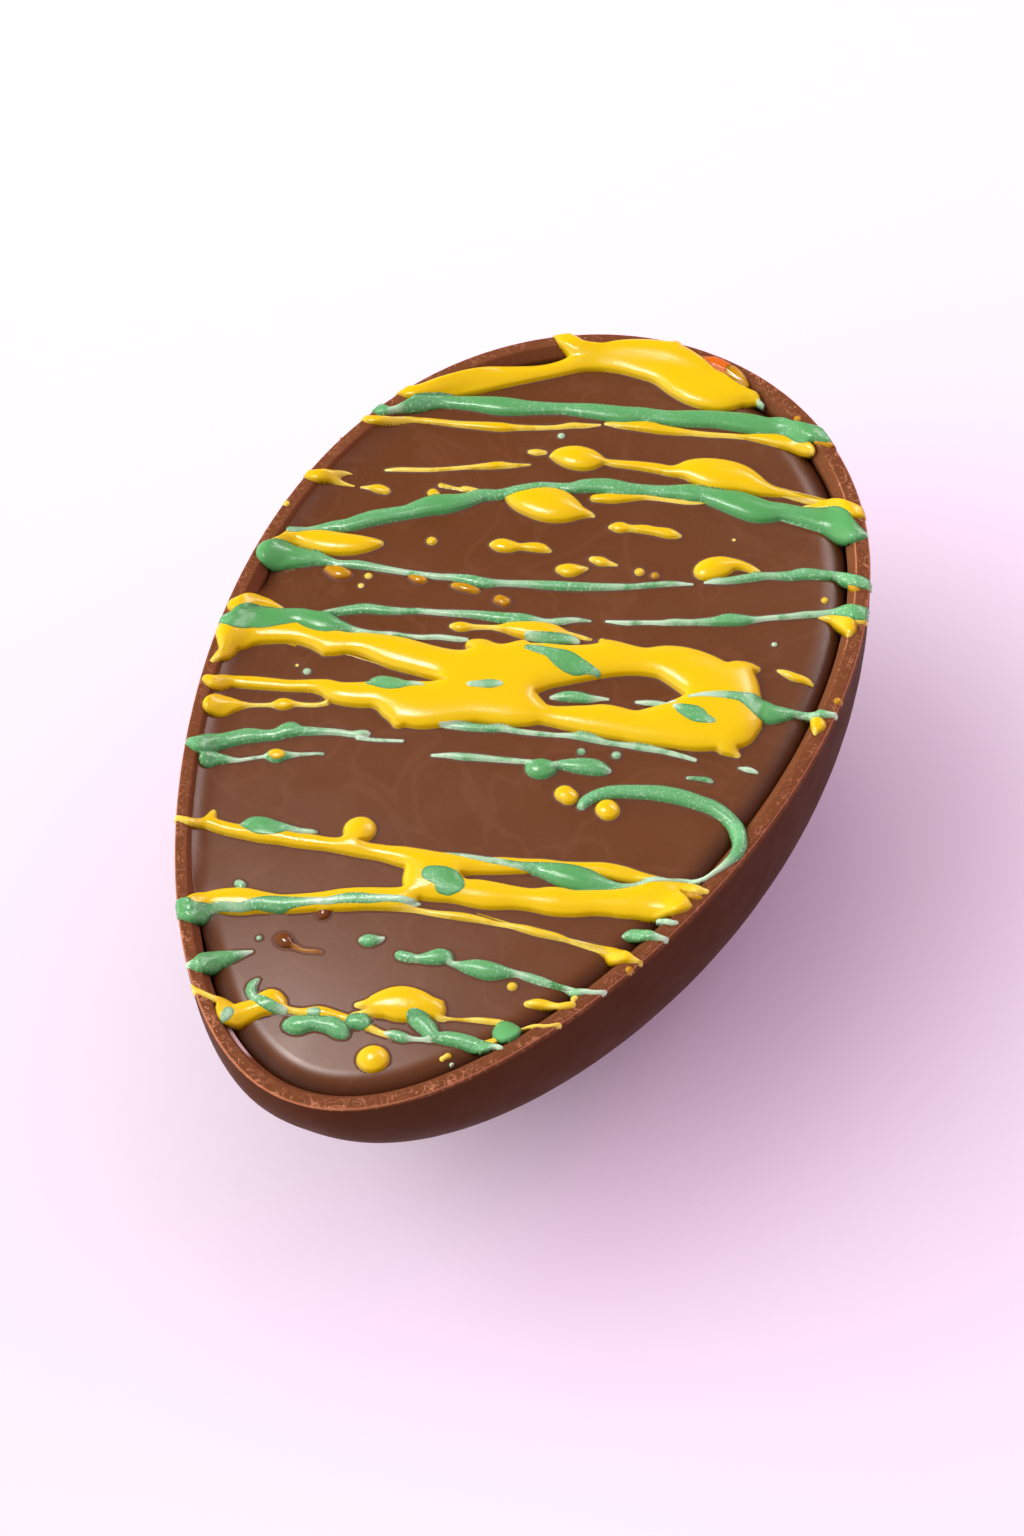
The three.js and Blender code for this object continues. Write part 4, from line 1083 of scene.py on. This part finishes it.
# Painted highlight: where the scuff mark passes 1, a thin pale line on the rim's edges.
edge = ramp(tree, mark(tree, "scuff_and_glint"), 1.0, 1.5, 0.0, 0.8)
colour = blend_colour(tree, edge, colour, painted_edge_highlight)
# Painted glint: the ledge is painted pale.
ledge = ramp(tree, mark(tree, "ledge"), 0.3, 0.6)
colour = blend_colour(tree, ledge, colour, painted_glint_colour)
polish = join(tree, "MULTIPLY", ledge, ledge_polish)
connect(tree, shader, colour, join(tree, "SUBTRACT", rough, polish))

# %% Slab material
slab_dark, slab_light = (0.127, 0.044, 0.0095), (0.137, 0.049, 0.012)
# The swirls are the chocolate's own; the edge colour is painted shade by the groove.
swirl_colour, painted_groove_shade = (0.19, 0.078, 0.028), (0.045, 0.015, 0.006)

slab_finish, tree, shader, colour, rough = chocolate(
    "slab chocolate", slab_dark, slab_light, 0.255, 0.29, 0.34)
swirls = join(tree, "MULTIPLY", contour(tree, 26.0, 0.022, 1.6), 0.24)
colour = blend_colour(tree, swirls, colour, swirl_colour)
# Painted shade: the slab is painted darker towards the open groove.
edge = ramp(tree, mark(tree, "edge"), 0.2, 1.0, 0.0, 0.8)
colour = blend_colour(tree, edge, colour, painted_groove_shade)
connect(tree, shader, colour, rough)

# %% [markdown]
# ## Finish of the pours
# Coloured chocolate is glossy and lets a little light in. Wide pools keep their full colour.
# Thin strings dry pale, and small yellow drops look darker, like honey, since the brown shows
# through them. The shore of a pour is darker, partly as the brown shows through its thin edge
# and partly as painted shade. Small pours carry pale dots, partly pale specks and partly
# painted glints. The widths that the bodies keep drive all this. The lip around a pour has the
# brown of the slab and no shine. Fine grain in the bump breaks the highlights into a glitter
# of short streaks.

# %% Pour materials
lip_roughness = 0.7


def poured(name, full, small, thin, shore, roughness, grain, specks_and_glints):
    """Glossy coloured chocolate whose colour follows the width and the edge of the pour."""
    made, tree, shader = material(name)
    patchy = ramp(tree, noise_of(tree, 2.5, 3.0), 0.3, 0.7, 0.35, 1.0)
    colour = blend_colour(tree, join(tree, "MULTIPLY", mark(tree, "small"), patchy), full, small)
    # Darker shore: partly the brown showing through the thin edge, partly painted shade.
    colour = blend_colour(tree, ramp(tree, mark(tree, "deep"), 0.05, 0.45), shore, colour)
    streaks = ramp(tree, noise_of(tree, 3.2, 2.0), 0.32, 0.48)
    pale = join(tree, "MULTIPLY", mark(tree, "thin"), streaks)
    colour = blend_colour(tree, pale, colour, thin)
    # Pale dots: partly pale specks, partly painted glints.
    dots_and_glints = ramp(tree, noise_of(tree, 0.42, 2.0, 0.6), 0.56, 0.66, 0.0, specks_and_glints)
    colour = blend_colour(tree, join(tree, "MULTIPLY", dots_and_glints, mark(tree, "small")), colour, thin)
    inside = ramp(tree, mark(tree, "inside"), -0.05, 0.03)
    on_pour = join(tree, "MAXIMUM", inside, ramp(tree, mark(tree, "alone"), 1.0, 0.0))
    colour = blend_colour(tree, on_pour, slab_dark, colour)
    connect(tree, shader, colour, ramp(tree, on_pour, 0.0, 1.0, lip_roughness, roughness))
    dial(shader, {"Specular IOR Level": 0.46, "Subsurface Weight": 0.1,
                  "Subsurface Radius": (1.0, 0.9, 0.3), "Subsurface Scale": 0.5 * mm})
    bump_by(tree, shader, noise_of(tree, 0.42, 3.0, 0.65), grain)
    return made


# Name, then the colours of a wide, a small and a thin pour and of its shore, which is partly
# painted shade, roughness, height of the grain in mm, and how strongly the pale dots, partly
# painted glints, show.
yellow_finish = poured("yellow chocolate", (0.79, 0.575, 0.001), (0.74, 0.525, 0.001),
                       (0.83, 0.70, 0.09), (0.50, 0.33, 0.001), 0.18, 0.034, 0.2)
green_finish = poured("green chocolate", (0.092, 0.385, 0.098), (0.16, 0.49, 0.20),
                      (0.50, 0.76, 0.47), (0.075, 0.30, 0.085), 0.20, 0.040, 0.7)
amber_finish = poured("amber glaze", (0.60, 0.34, 0.001), (0.44, 0.22, 0.001),
                      (0.55, 0.31, 0.004), (0.24, 0.08, 0.003), 0.18, 0.006, 0.0)
brown_finish = poured("brown glaze", (0.17, 0.055, 0.006), (0.15, 0.045, 0.005),
                      (0.34, 0.15, 0.02), (0.10, 0.03, 0.004), 0.16, 0.006, 0.0)
red_finish = poured("red glaze", (0.66, 0.14, 0.006), (0.66, 0.15, 0.006),
                    (0.66, 0.24, 0.02), (0.55, 0.10, 0.006), 0.18, 0.006, 0.0)

# %% [markdown]
# ## The dressed pieces
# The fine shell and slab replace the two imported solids. The pours lie on them as bodies of
# their own, because each has its own colour. All of them ride on the one body of the model.

# %% Shell and slab take their places
shell = piece("shell_dressed", shell_bm, shell_finish)
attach(shell, "root")
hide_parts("shell")
slab = piece("filling_dressed", slab_bm, slab_finish)
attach(slab, "root")
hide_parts("filling")

# %% Pour bodies take their places
zone_names = ("blunt", "middle", "pointed")
for colour, over, finish in (("yellow", 0.0, yellow_finish), ("green", 0.05, green_finish)):
    for part, pours in zip(zone_names, all_pours[colour]):
        pour_body(colour + "_pour_" + part, pours, colour, over, finish)
for name, pours, over, finish in (("amber_pour", amber, 0.02, amber_finish),
                                  ("red_pour", red, 0.02, red_finish),
                                  ("brown_pour", brown, -0.04, brown_finish),
                                  ("bead_pour", beads, 0.09, yellow_finish)):
    pour_body(name, pours, "glaze", over, finish)
